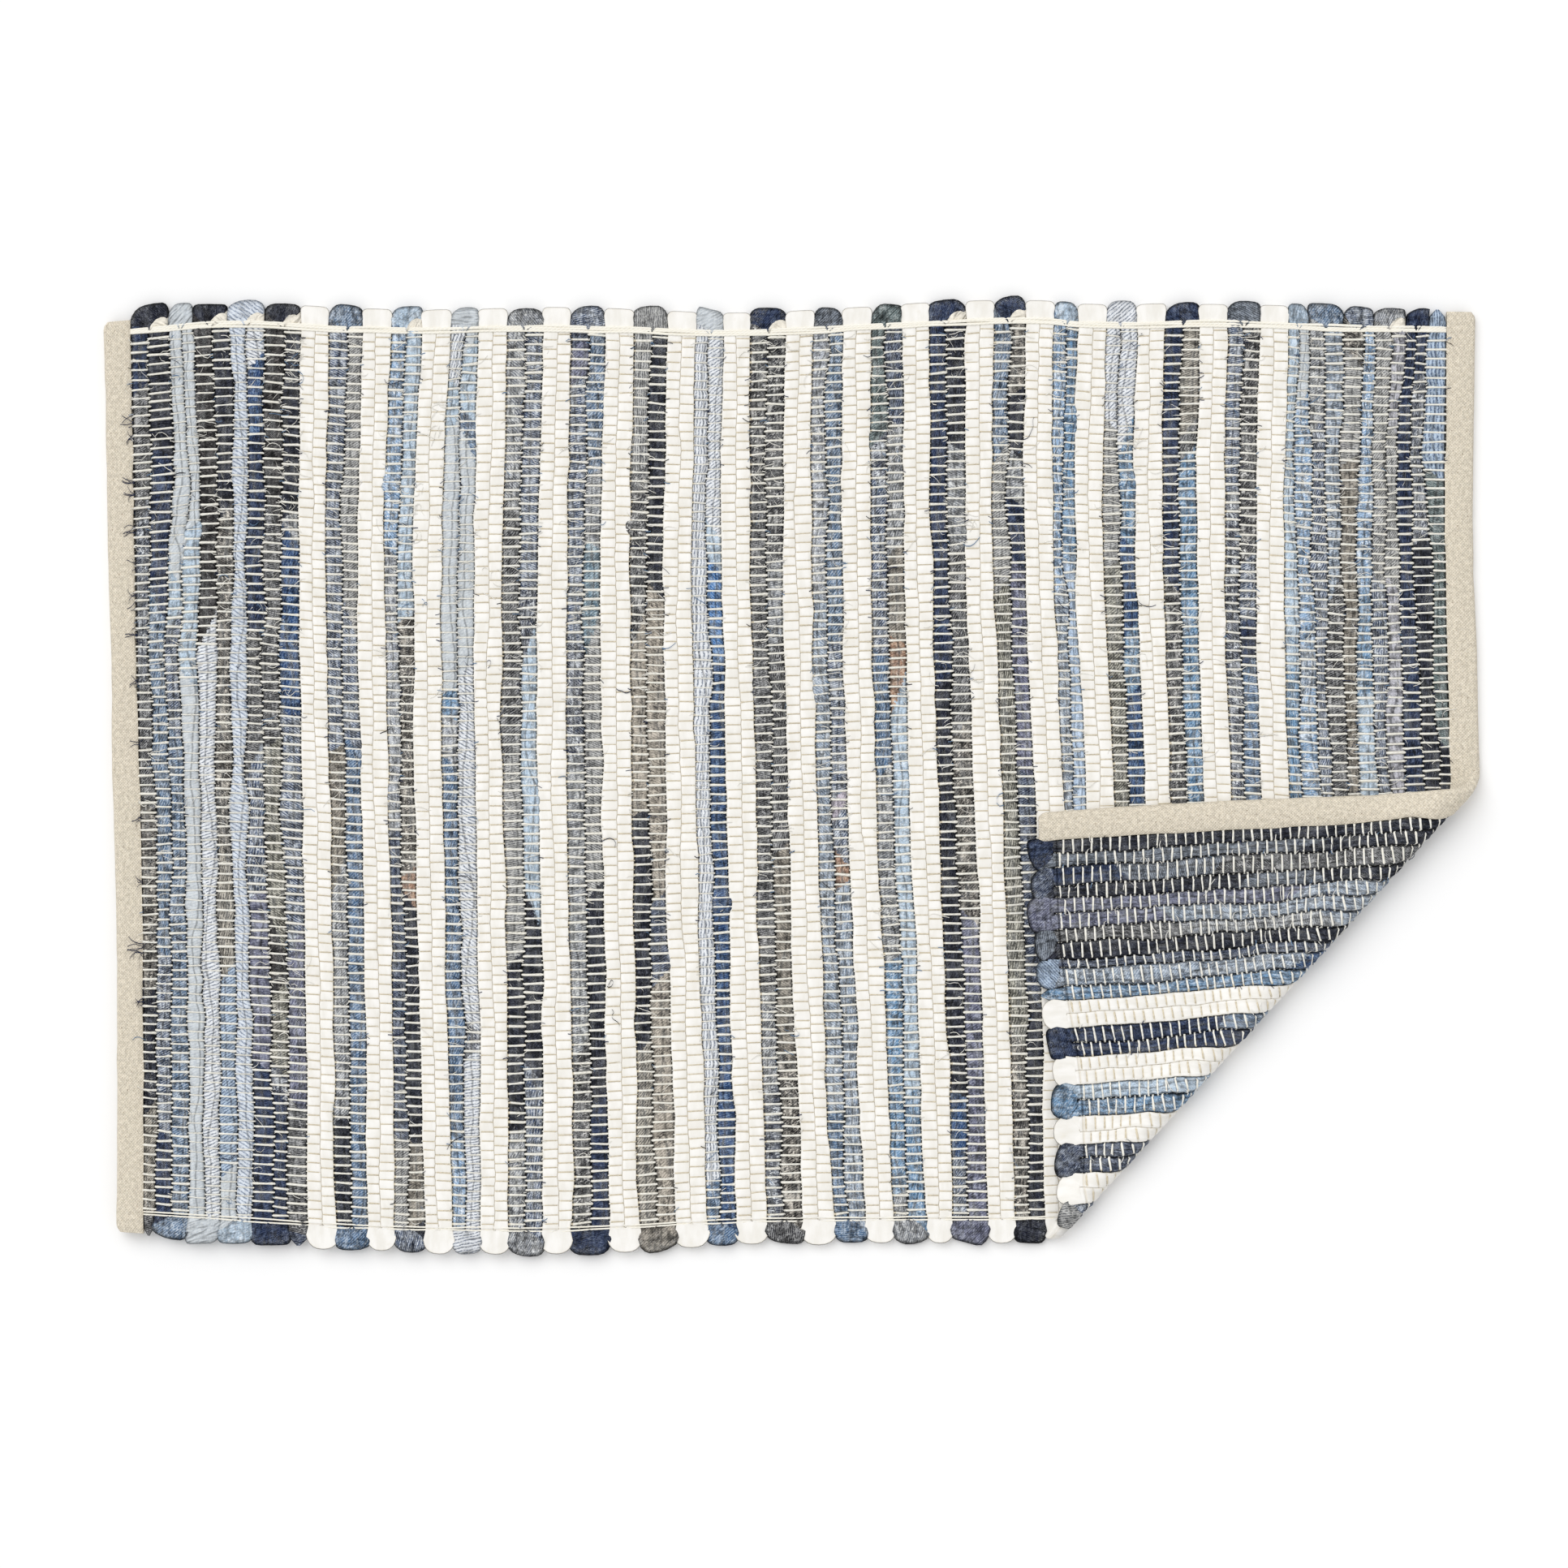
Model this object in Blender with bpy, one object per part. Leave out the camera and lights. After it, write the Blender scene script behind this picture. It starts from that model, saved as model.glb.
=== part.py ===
"""A woven rag rug of 2 ft by 3 ft. It lies flat, with one corner folded over onto its face.

The cloth is drawn up flat as woven, with a rib for each pick of rag strip, then laid down in three steps:
it leans and bows a little like hand-made cloth, it is cut along the lines where the fold bends, and the
corner is rolled over in a soft teardrop that settles back onto the rug.

Cloth coordinates: "along" runs from the left binding to the right one, "across" runs along the picks from
the near selvedge to the far one, and "height" is measured from the middle of the cloth's thickness.
Metres, +Z up. The origin is under the middle of the rug as it lies.
"""

import math

import bmesh
import bpy
import numpy as np

MM = 0.001

# The cloth as woven
LENGTH = 914 * MM             # over both bindings
PICK_SPAN = 598 * MM          # between the outermost warps
THICKNESS = 7 * MM            # at the crest of a pick
GROOVE = 1.9 * MM             # how far a groove between two picks lies below their crests
CREST_UNEVENNESS = 0.25 * MM  # some rags are thicker than others
SPAN_SHIFT = 2 * MM           # the picks' middle, seen from the origin

# The picks, from left to right: a denim border, white and denim stripes of two picks, a denim border
LEFT_BORDER_PICKS = 10
RIGHT_BORDER_PICKS = 11
FIRST_WHITE_AT = -315 * MM
STRIPE_PITCH = 39.87 * MM
WHITE_WIDTH = 18.6 * MM
WHITE_DRIFT = [mm * MM for mm in (0, 0.5, 0.5, -1.5, 1, 3, 5, 1.5, 3.5, 1.5, 1, 4, 4, -1, -2, 0, 0)]

# The turning loops of the rag strips, outside the outermost warps
CAP_REACH = 14 * MM
CAP_NOTCH = 9.5 * MM
CAP_CREST_AT = 6.5 * MM
RIM_HALF = 1.4 * MM           # half the thickness at the outermost rim

# The canvas bindings, folded round the cut ends of the cloth
BINDING_WIDTH = 19 * MM
BINDING_OVERHANG = 6.5 * MM   # past the outermost warps
CANVAS = 1.5 * MM             # two turns of canvas, as sewn
TONGUE_HALF = 1.6 * MM        # half the thickness of the flattened warps inside
CLEARANCE = 0.4 * MM
TIP_ROOM = 2 * MM               # the cut warps stop short of the tape's fold

# How the cloth lies: a row for each station along it, in mm.
# far, near: how far the two selvedges bow away from straight, +Y up the page
# lean: how far the picks stand off to the right at a share of the way from the far to the near selvedge
LIE_COLUMNS = ("along", "far", "near", "lean_20", "lean_50", "lean_75", "lean_100")
LIE = (
    (-457, -4, 6, 3, 7, 10, 10),
    (-360, 3, 0, 0, 2, 4, 5),
    (-290, -1, -4, -3, -1, 2, 4),
    (-150, 0, -6, -3, -4, -1, 1),
    (-30, -3, 0, -1, 3, 6, 10),
    (75, 2, 1, 1, 5, 11, 16),
    (150, 5, 1, -1, 6, 11, 13),
    (220, 2, 5, -1, 6, 11, 13),
    (275, 3, 7, -1, 3, 10, 12),
    (370, 0, 2, -2, 1, 8, 11),
    (457, -1, 7, -1, 3, 10, 15),
)
LEAN_SHARES = (0.0, 0.20, 0.50, 0.75, 1.0)

# The folded corner
FOLD_START = np.array((445 * MM, 3 * MM))     # where the bend leaves the ground, at the binding
FOLD_END = np.array((187 * MM, -285 * MM))    # and at the near selvedge
BEND_AT_START = 11 * MM                       # radius of the cloth's middle
BEND_AT_END = 6.5 * MM
SETTLE_SLOPE = math.radians(25)               # how steeply the flap comes back down
SETTLE_BEND = 4.0                             # its last, reverse bend, in bend radii
FLAP_GAP = 0.8 * MM                           # from the flap to the cloth under it
BEND_STEPS = 6                                # flat facets round the bend

# Rows of the mesh across the cloth, as shares of PICK_SPAN between the outermost warps
INNER_ROWS = (-0.3, -0.1, 0.1, 0.3)

HALF = THICKNESS / 2
SPAN_END = PICK_SPAN / 2
CLOTH_END = LENGTH / 2
BINDING_EDGE = CLOTH_END - BINDING_WIDTH
FOLD_LENGTH = float(np.linalg.norm(FOLD_END - FOLD_START))
FOLD_ALONG = (FOLD_END - FOLD_START) / FOLD_LENGTH
FOLD_ACROSS = np.array((-FOLD_ALONG[1], FOLD_ALONG[0]))
SNAP = 0.2 * MM                               # a cut this near to a point goes through the point


# ---------------------------------------------------------------- how the cloth lies

def hermite(left, right, left_slope, right_slope, width, share):
    """Smooth step from one value to the next with given slopes."""
    cube, square = share ** 3, share ** 2
    return ((2 * cube - 3 * square + 1) * left + (cube - 2 * square + share) * width * left_slope
            + (3 * square - 2 * cube) * right + (cube - square) * width * right_slope)


def through(stations, values, at):
    """A smooth curve through the values at the stations."""
    slopes = np.gradient(values, stations)
    i = np.clip(np.searchsorted(stations, at) - 1, 0, len(stations) - 2)
    width = stations[i + 1] - stations[i]
    share = np.clip((at - stations[i]) / width, 0.0, 1.0)
    return hermite(values[i], values[i + 1], slopes[i], slopes[i + 1], width, share)


def on_ground(along, across):
    """Where a point of the cloth would lie if no corner were folded."""
    table = np.array(LIE, float) * MM
    column = {name: table[:, k] for k, name in enumerate(LIE_COLUMNS)}
    stations = column["along"]
    down = 0.5 - across / PICK_SPAN
    far, near = (through(stations, column[name], along) for name in ("far", "near"))
    leans = [0.0] + [through(stations, column["lean_%d" % round(100 * share)], along)
                     for share in LEAN_SHARES[1:]]
    lean = through(np.array(LEAN_SHARES), np.array(leans), down)
    return np.array((along + lean, across + SPAN_SHIFT + far * (1 - down) + near * down))


def bend_radius(place):
    """Radius of the bend, at a place measured along the fold from its start."""
    share = place / FOLD_LENGTH
    return BEND_AT_START + (BEND_AT_END - BEND_AT_START) * share


def bend_ends(radius):
    """Lengths of cloth at which the first bend, the slope and the reverse bend end."""
    drop = 1 + math.cos(SETTLE_SLOPE) - SETTLE_BEND * (1 - math.cos(SETTLE_SLOPE))
    slope = (drop * radius - THICKNESS - FLAP_GAP) / math.sin(SETTLE_SLOPE)
    first = (math.pi + SETTLE_SLOPE) * radius
    return first, first + slope, first + slope + SETTLE_BEND * radius * SETTLE_SLOPE


def fold_place(point):
    """Distance past the line where the bend starts, and place along that line."""
    offset = point - FOLD_START
    return float(offset @ FOLD_ACROSS), float(offset @ FOLD_ALONG)


def rolled(past, place):
    """The cloth's middle after the bend: reach past the fold's start, height, and the angle turned."""
    radius = bend_radius(place)
    first, second, third = bend_ends(radius)
    if past <= 0:
        return past, 0.0, 0.0
    angle = min(past, first) / radius
    reach, rise = radius * math.sin(angle), radius * (1 - math.cos(angle))
    straight = min(max(past - first, 0.0), second - first)
    reach -= straight * math.cos(SETTLE_SLOPE)
    rise -= straight * math.sin(SETTLE_SLOPE)
    wide = SETTLE_BEND * radius
    back = min(max(past - second, 0.0), third - second) / wide
    reach -= wide * (math.sin(SETTLE_SLOPE) - math.sin(SETTLE_SLOPE - back))
    rise -= wide * (math.cos(SETTLE_SLOPE - back) - math.cos(SETTLE_SLOPE))
    reach -= max(past - third, 0.0)
    return reach, rise, angle - back


def laid(point, height):
    """A point on the ground plane, with its height in the cloth, moved to where it lies in the fold."""
    past, place = fold_place(point)
    reach, rise, angle = rolled(past, place)
    reach -= height * math.sin(angle)
    flat = FOLD_START + place * FOLD_ALONG + reach * FOLD_ACROSS
    return float(flat[0]), float(flat[1]), HALF + rise + height * math.cos(angle)


def cut_lines():
    """Lines where the rolled cloth changes its slope, each a point and a normal on the ground."""
    turns = np.linspace(0, math.pi + SETTLE_SLOPE, BEND_STEPS + 1)
    ends = [bend_ends(radius) for radius in (BEND_AT_START, BEND_AT_END)]
    spans = [(turn * BEND_AT_START, turn * BEND_AT_END) for turn in turns]
    spans += [(ends[0][1], ends[1][1]), (ends[0][2], ends[1][2])]
    lines = []
    for at_start, at_end in spans:
        start = FOLD_START + at_start * FOLD_ACROSS
        direction = FOLD_END + at_end * FOLD_ACROSS - start
        lines.append((start, np.array((-direction[1], direction[0]))))
    return lines


def lay_down(mesh, depth_layer=None):
    """Cut the flat cloth along the fold's lines and roll the corner over.

    depth_layer holds how deep the underside's grooves are where the underside shows, on the flap. On the
    ground the underside is flat.
    """
    for point, normal in cut_lines():
        bmesh.ops.bisect_plane(mesh, geom=mesh.verts[:] + mesh.edges[:] + mesh.faces[:], dist=SNAP,
                               plane_co=(*point, 0), plane_no=(*normal, 0))
    bmesh.ops.triangulate(mesh, faces=mesh.faces[:])
    for vert in mesh.verts:
        point, height = np.array(vert.co[:2], float), vert.co[2]
        if depth_layer is not None:
            past, place = fold_place(point)
            shown = min(max(past / (math.pi / 2 * bend_radius(place)), 0.0), 1.0)
            height += vert[depth_layer] * shown
        vert.co = laid(point, height)


# ---------------------------------------------------------------- the woven field

def white_centres():
    return [FIRST_WHITE_AT + k * STRIPE_PITCH + drift for k, drift in enumerate(WHITE_DRIFT)]


def pick_edges():
    """The grooves between the picks, from left to right."""
    whites = white_centres()
    edges = list(np.linspace(-BINDING_EDGE, whites[0] - WHITE_WIDTH / 2, LEFT_BORDER_PICKS + 1))
    for k, centre in enumerate(whites):
        edges += [centre, centre + WHITE_WIDTH / 2]
        if k + 1 < len(whites):
            denim_end = whites[k + 1] - WHITE_WIDTH / 2
            edges += [(edges[-1] + denim_end) / 2, denim_end]
    return edges + list(np.linspace(edges[-1], BINDING_EDGE, RIGHT_BORDER_PICKS + 1))[1:]


def field_columns():
    """The mesh's columns: (along, crest from 0 to 1, share of the way through its pair of picks)."""
    edges = pick_edges()
    edges[0] += CLEARANCE * 2
    edges[-1] -= CLEARANCE * 2
    columns = []
    for pick, (left, right) in enumerate(zip(edges, edges[1:])):
        columns.append((left, 0.0, pick % 2 * 0.5))
        columns.append(((left + right) / 2, 1.0, pick % 2 * 0.5 + 0.25))
    columns.append((edges[-1], 0.0, 0.5))
    return columns


def crest_height(along):
    """Height of a pick's crest above the middle of the cloth."""
    return HALF - CREST_UNEVENNESS * (1 + math.sin(along / (7.3 * MM)) * math.sin(along / (31 * MM)))


def field_section(along, crest, pair_share):
    """One column of the field: (across, top height, underside height, groove depth) for each row."""
    bulge = math.sin(math.pi * pair_share)
    groove = GROOVE * (1 - crest)
    top = crest_height(along) - groove
    cap = CAP_NOTCH + (CAP_REACH - CAP_NOTCH) * bulge
    cap_drop = GROOVE * (1 - bulge)
    edge = [(SPAN_END + cap, RIM_HALF, -RIM_HALF, 0.0),
            (SPAN_END + CAP_CREST_AT, HALF - cap_drop, -HALF, cap_drop),
            (SPAN_END, top - GROOVE * 0.4 * crest, -HALF, groove)]
    near = [(-across, *rest) for across, *rest in edge]
    inner = [(share * PICK_SPAN, top, -HALF, groove) for share in INNER_ROWS]
    return near + inner + edge[::-1]


def tongue_section():
    """One column of the flattened end of the cloth, inside a binding."""
    rows = [SPAN_END + BINDING_OVERHANG - CLEARANCE, SPAN_END + BINDING_OVERHANG / 2, SPAN_END]
    across = [-row for row in rows] + [share * PICK_SPAN for share in INNER_ROWS] + rows[::-1]
    return [(row, TONGUE_HALF, -TONGUE_HALF, 0.0) for row in across]


def woven_field():
    """The ribbed cloth between the bindings, with a thin tongue at each end that the bindings grip."""
    tongue_root = BINDING_EDGE - CLEARANCE
    tongue_tip = CLOTH_END - 2 * CANVAS - TIP_ROOM
    columns = [(along, field_section(along, crest, share)) for along, crest, share in field_columns()]
    tongues = [(along, tongue_section()) for along in (tongue_root, tongue_tip)]
    columns = [(-along, section) for along, section in tongues[::-1]] + columns + tongues

    mesh = bmesh.new()
    depth_layer = mesh.verts.layers.float.new("groove_depth")

    def add(along, across, height, depth):
        vert = mesh.verts.new((*on_ground(along, across), height))
        vert[depth_layer] = depth
        return vert

    top = [[add(along, across, high, 0.0) for across, high, _low, _depth in section]
           for along, section in columns]
    under = [[add(along, across, low, depth) for across, _high, low, depth in section]
             for along, section in columns]
    last_row, last_column = len(top[0]) - 1, len(top) - 1
    for c in range(last_column):
        for r in range(last_row):
            for sheet in (top, under):
                mesh.faces.new((sheet[c][r], sheet[c + 1][r], sheet[c + 1][r + 1], sheet[c][r + 1]))
        for r in (0, last_row):
            mesh.faces.new((top[c][r], top[c + 1][r], under[c + 1][r], under[c][r]))
    for c in (0, last_column):
        for r in range(last_row):
            mesh.faces.new((top[c][r], top[c][r + 1], under[c][r + 1], under[c][r]))
    lay_down(mesh, depth_layer)
    return mesh


# ---------------------------------------------------------------- the bindings

def binding_outline():
    """The tape's section at the right end: (along, height), round the fold and into the slot."""
    slot, rounding = HALF - CANVAS, 2 * MM
    return [(BINDING_EDGE, slot), (BINDING_EDGE, HALF - 0.4 * MM), (BINDING_EDGE + 1.2 * MM, HALF),
            (CLOTH_END - rounding, HALF), (CLOTH_END - 0.5 * MM, HALF - rounding * 0.7), (CLOTH_END, 0.0),
            (CLOTH_END - 0.5 * MM, rounding * 0.7 - HALF), (CLOTH_END - rounding, -HALF),
            (BINDING_EDGE, -HALF), (BINDING_EDGE, -slot),
            (CLOTH_END - 2 * CANVAS, -slot), (CLOTH_END - 2 * CANVAS, slot)]


def binding(side):
    """A canvas tape folded round one end of the cloth. side is 1 at the right end, -1 at the left."""
    ends = SPAN_END + BINDING_OVERHANG
    rows = [-ends, -SPAN_END] + [share * PICK_SPAN for share in INNER_ROWS] + [SPAN_END, ends]
    mesh = bmesh.new()
    loops = [[mesh.verts.new((*on_ground(side * along, across), height))
              for along, height in binding_outline()] for across in rows]
    for near, far in zip(loops, loops[1:]):
        for k in range(len(near)):
            nxt = (k + 1) % len(near)
            mesh.faces.new((near[k], near[nxt], far[nxt], far[k]))
    for loop in (loops[0], loops[-1]):
        mesh.faces.new(loop)
    lay_down(mesh)
    return mesh


# ---------------------------------------------------------------- objects

def cloth_material(name, colour, roughness):
    material = bpy.data.materials.new(name)
    material.use_nodes = True
    shader = material.node_tree.nodes["Principled BSDF"]
    shader.inputs["Base Color"].default_value = (*colour, 1.0)
    shader.inputs["Roughness"].default_value = roughness
    shader.inputs["Metallic"].default_value = 0.0
    return material


def add_object(name, mesh, material):
    bmesh.ops.recalc_face_normals(mesh, faces=mesh.faces[:])
    data = bpy.data.meshes.new(name)
    mesh.to_mesh(data)
    mesh.free()
    data.materials.append(material)
    bpy.context.scene.collection.objects.link(bpy.data.objects.new(name, data))


def clear_scene():
    for old in list(bpy.data.objects):
        bpy.data.objects.remove(old, do_unlink=True)


def main():
    clear_scene()
    rag_weave = cloth_material("rag_weave", (0.34, 0.38, 0.45), 0.9)
    canvas = cloth_material("canvas", (0.72, 0.65, 0.54), 0.9)
    canvas_right = cloth_material("canvas_right", (0.72, 0.65, 0.54), 0.9)
    add_object("woven_field", woven_field(), rag_weave)
    add_object("binding_left", binding(-1), canvas)
    add_object("binding_right", binding(1), canvas_right)


main()
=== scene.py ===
"""A rag rug of denim and white cotton strips, lying flat with one corner folded over onto its face.

Every strip of rag and every cotton warp is a strand of its own. They are drawn in the flat cloth, and
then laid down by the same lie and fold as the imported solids.

Cloth coordinates, in metres: "along" runs from the left binding to the right one, "across" runs along the
picks from the near selvedge to the far one, and "height" is measured from the middle of the cloth.
A pick is one passage of the rag weft. A crossing is a warp going over or under a pick.
"""

import math

import bpy
import numpy as np
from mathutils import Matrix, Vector


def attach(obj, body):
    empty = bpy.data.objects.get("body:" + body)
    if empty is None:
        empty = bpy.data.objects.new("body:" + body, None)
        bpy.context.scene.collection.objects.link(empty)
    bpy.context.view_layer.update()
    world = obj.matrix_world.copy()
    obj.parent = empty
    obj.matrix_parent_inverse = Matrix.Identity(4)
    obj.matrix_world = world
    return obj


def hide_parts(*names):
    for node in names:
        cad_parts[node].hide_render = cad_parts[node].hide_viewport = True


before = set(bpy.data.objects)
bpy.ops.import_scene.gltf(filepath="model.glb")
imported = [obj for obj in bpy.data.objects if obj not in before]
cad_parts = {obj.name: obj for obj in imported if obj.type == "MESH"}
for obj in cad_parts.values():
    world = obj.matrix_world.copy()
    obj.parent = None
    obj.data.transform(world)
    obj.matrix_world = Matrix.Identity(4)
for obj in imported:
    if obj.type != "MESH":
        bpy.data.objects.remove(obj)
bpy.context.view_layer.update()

MM = 0.001
SEED = 20

# ---------------------------------------------------------------- the cloth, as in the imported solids

LENGTH = 914 * MM
PICK_SPAN = 598 * MM
THICKNESS = 7 * MM
SPAN_SHIFT = 2 * MM            # of the picks' middle from the middle of the rug, towards the far side
LEFT_BORDER_PICKS = 10
RIGHT_BORDER_PICKS = 11
FIRST_WHITE_AT = -315 * MM
STRIPE_PITCH = 39.87 * MM
WHITE_WIDTH = 18.6 * MM
# How far each white stripe is to the right of an even spacing, and how far it bows to the right halfway down
WHITE_DRIFT = [mm * MM for mm in (0, 0.5, 0.5, -1.5, 1, 3, 5, 1.5, 3.5, 1.5, 1, 4, 4, -1, -2, 0, 0)]
WHITE_BOW = [mm * MM for mm in (0, 0.3, -2.2, 1.2, 1.2, 0, -1.8, 0, -2.6, -1.5, -0.5, -1.2, -1, -2.2,
                                -1.3, -1.5, -1.2)]
# How wide the picks of a border are against each other, at shares of the way down the rug
LEFT_WIDTHS = (
    (0.02, (22, 23, 17, 15, 23, 21, 20, 23, 23, 21)),
    (0.18, (18, 30, 17, 14, 18, 19, 19, 19, 22, 22)),
    (0.36, (14, 18, 15, 23, 23, 18, 19, 18, 20, 24)),
    (0.54, (18, 18, 19, 19, 20, 16, 19, 22, 20, 27)),
    (0.72, (17, 18, 20, 18, 19, 22, 17, 23, 23, 20)),
    (0.90, (15, 18, 21, 18, 18, 20, 18, 23, 17, 21)),
)
RIGHT_WIDTHS = (
    (0.02, (13, 14, 20, 23, 25, 12, 23, 17, 14, 12, 25)),
    (0.14, (10, 23, 19, 19, 23, 17, 17, 14, 15, 13, 30)),
    (0.27, (17, 19, 19, 21, 15, 21, 17, 17, 16, 27, 15)),
    (0.38, (17, 23, 13, 22, 15, 21, 17, 18, 22, 18, 15)),
)
CAP_REACH = 14 * MM            # of the turning loops beyond the selvedge
BINDING_WIDTH = 19 * MM        # on the face
BINDING_OVERHANG = 6.5 * MM    # of the bindings' ends beyond the selvedge
CANVAS = 1.5 * MM              # thickness of the tape

# How the cloth lies, at places along it: how far its far and near selvedges are from straight, and how far
# it leans to the right at shares of the way down. All in mm.
LIE_COLUMNS = ("along", "far", "near", "lean_20", "lean_50", "lean_75", "lean_100")
LIE = (
    (-457, -4, 6, 3, 7, 10, 10),
    (-360, 3, 0, 0, 2, 4, 5),
    (-290, -1, -4, -3, -1, 2, 4),
    (-150, 0, -6, -3, -4, -1, 1),
    (-30, -3, 0, -1, 3, 6, 10),
    (75, 2, 1, 1, 5, 11, 16),
    (150, 5, 1, -1, 6, 11, 13),
    (220, 2, 5, -1, 6, 11, 13),
    (275, 3, 7, -1, 3, 10, 12),
    (370, 0, 2, -2, 1, 8, 11),
    (457, -1, 7, -1, 3, 10, 15),
)
LEAN_SHARES = (0.0, 0.20, 0.50, 0.75, 1.0)

# The line where the fold's bend starts, and the bend's radius at both its ends. Past half a turn the cloth
# comes down at a slope and settles on the face in a wider bend.
FOLD_START = np.array((445 * MM, 3 * MM))
FOLD_END = np.array((187 * MM, -285 * MM))
BEND_AT_START = 11 * MM
BEND_AT_END = 6.5 * MM
SETTLE_SLOPE = math.radians(25)
SETTLE_BEND = 4.0              # times the first radius
FLAP_GAP = 0.8 * MM            # between the flap and the cloth under it

HALF = THICKNESS / 2
SPAN_END = PICK_SPAN / 2
CLOTH_END = LENGTH / 2
BINDING_EDGE = CLOTH_END - BINDING_WIDTH
FOLD_LENGTH = float(np.linalg.norm(FOLD_END - FOLD_START))
FOLD_ALONG = (FOLD_END - FOLD_START) / FOLD_LENGTH
FOLD_ACROSS = np.array((-FOLD_ALONG[1], FOLD_ALONG[0]))
PICKS = LEFT_BORDER_PICKS + 2 * len(WHITE_DRIFT) + 2 * (len(WHITE_DRIFT) - 1) + RIGHT_BORDER_PICKS

# ---------------------------------------------------------------- the weave
# A pair of numbers is for denim and for white cotton, in that order. is_white() chooses from it.

WARPS = 194
WARP_GAP = PICK_SPAN / (WARPS - 1)
WARP_CROWDING = 0.55 * MM      # how far neighbouring warps drift together
WARP_STRAY = 0.16 * MM         # and each warp on its own
LEAST_GAP = 0.55               # between two warps, in WARP_GAPs
WARP_JITTER = np.array((0.28, 0.24, 0.07)) * MM   # of each ring of a warp
WARP_DENIM = 1.03 * MM         # radius of a warp where it crosses denim
WARP_PALE = 0.62 * MM          # where it crosses a pale rag
WARP_WHITE = 0.58 * MM         # where it sinks between the white cotton's puffs
WARP_ON_BACK = 0.62 * MM       # and where the back of the cloth shows
WARP_UNEVEN = (0.8, 1.2)       # the least and most of that radius that a ring has
WARP_PLUMP = 1.15              # a three-sided cord is drawn wider, to look as thick as a round one
WARP_SIDES = 3
WARP_RISE = (1.15, 0.5)        # of a warp's middle above the notch that it lies in, in radii
WARP_RISE_BACK = 0.9
WARP_SUNK_BACK = 0.3 * MM      # how much deeper it lies in the white cotton's back
WARP_SHOULDER = 0.80           # how far out on a pick a warp stays at its crest, as a share
WARP_SHOULDER_BACK = 0.60      # the same where the back shows
TONGUE = 5 * MM                # length of the warps inside a binding

NOTCH_DENIM = 1.2 * MM         # how far a warp presses into denim
NOTCH_PALE = 0.75 * MM         # into the flat pale rags
NOTCH_WHITE = 0.65 * MM        # into white cotton
NOTCH_BACK = 1.2 * MM          # and into any rag from below
GROOVE_WAVES = ((11, 1.1), (4, 0.55), (2, 0.25))  # how grooves stray: (crossings between turns, mm)
GROOVE_STRAY = (0.8, 0.45)     # how much of that they do
SCALLOP = (0.35 * MM, 0.12 * MM)   # how far the neighbours bulge into a pick beside its warps

SIDES = 8                      # of a rag strand's section
CREST = 3.25 * MM              # half the height of a rag strand
BACK_CREST = CREST + 0.15 * MM
CREST_STRAY = (0.3 * MM, 0.08 * MM)
CRUMPLE = (0.2 * MM, 0.05 * MM)    # how far a strand's surface strays
TOUCH = 0.08 * MM              # how far strands of rag press into each other
CROWDING = 1.15                # rags are cut this much wider than the picks that they are beaten into
ROOM_UNDER = 0.05 * MM         # between the floor and the lowest strand
NORMAL_BIAS = 0.8              # how much more a large face counts in the shading of a point

LOOP_STEPS = 12
LOOP_SPREAD = (1.07, 1.1)      # how much wider than its picks a far turning loop is
NEAR_LOOP_SPREAD = 1.2         # and a near one, which is fuller
LOOP_PINCH = -3.4 * MM         # from the selvedge to the inside corner of a loop
LOOP_PINCHED = 0.96            # how much of the way to that corner the inside of a loop goes
LOOP_REACH_STRAY = (0.8 * MM, 0.4 * MM)
LOOP_LEAN = (1.8 * MM, 0.3 * MM)   # how far a loop leans to a side
LOOP_WAVE = (0.9 * MM, 0.2 * MM)   # how uneven its outline is
LOOP_PUFF = (0.2, 0.02)        # and its height, as a share
LOOP_FACE = 0.8                # height of a loop's outside above the middle, in CRESTs
LOOP_HIGHEST = 4 * MM
WHITE_LOOP_CREST = 0.9         # how much of CREST a white loop rises to
DENIM_LOOP_SQUARE = (2.6, 4.2) # how square a denim loop is, at least and at most: 2 is an ellipse
WHITE_LOOPS = {True: (6.0, 1.6 * MM), False: (2.5, 0.4 * MM)}  # far or not: (how square, how much shorter)
IN_LOOP = -1.0                 # marks the turning loops where the hollows under warps are stored
TIP_SHARES = (0.3, 0.6, 0.85, 1.0)
TIP_REACH = CAP_REACH - 2 * MM # of a strand's end beyond the selvedge

BUNDLE_INSET = 3.2 * MM        # of the bundles of cords that the loops turn round, from the selvedge
BUNDLE_CORDS = (-1.4 * MM, 0.0, 1.4 * MM)
BUNDLE_CORD = 0.95 * MM        # radius of a bundle's cord
BACK_BUNDLE_CORD = 0.7 * BUNDLE_CORD
BUNDLE_LEVEL = CREST + 0.2 * MM
BACK_BUNDLE_LEVEL = 1.5 * MM - CREST
NEAR_BUNDLE_CORDS = (-1.0 * MM, 1.0 * MM)
NEAR_BUNDLE_CORD = 0.6 * MM
NEAR_BUNDLE_SUNK = 0.8 * MM    # how far the near bundle sinks between the white cotton's puffs
BUNDLE_DIP = (1.0 * MM, 0.4 * MM)  # how far a bundle dips between the picks
BUNDLE_SIDES = 6
BUNDLE_TAN = 0.15              # how much darker than the warps a bundle is, as a share

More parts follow.
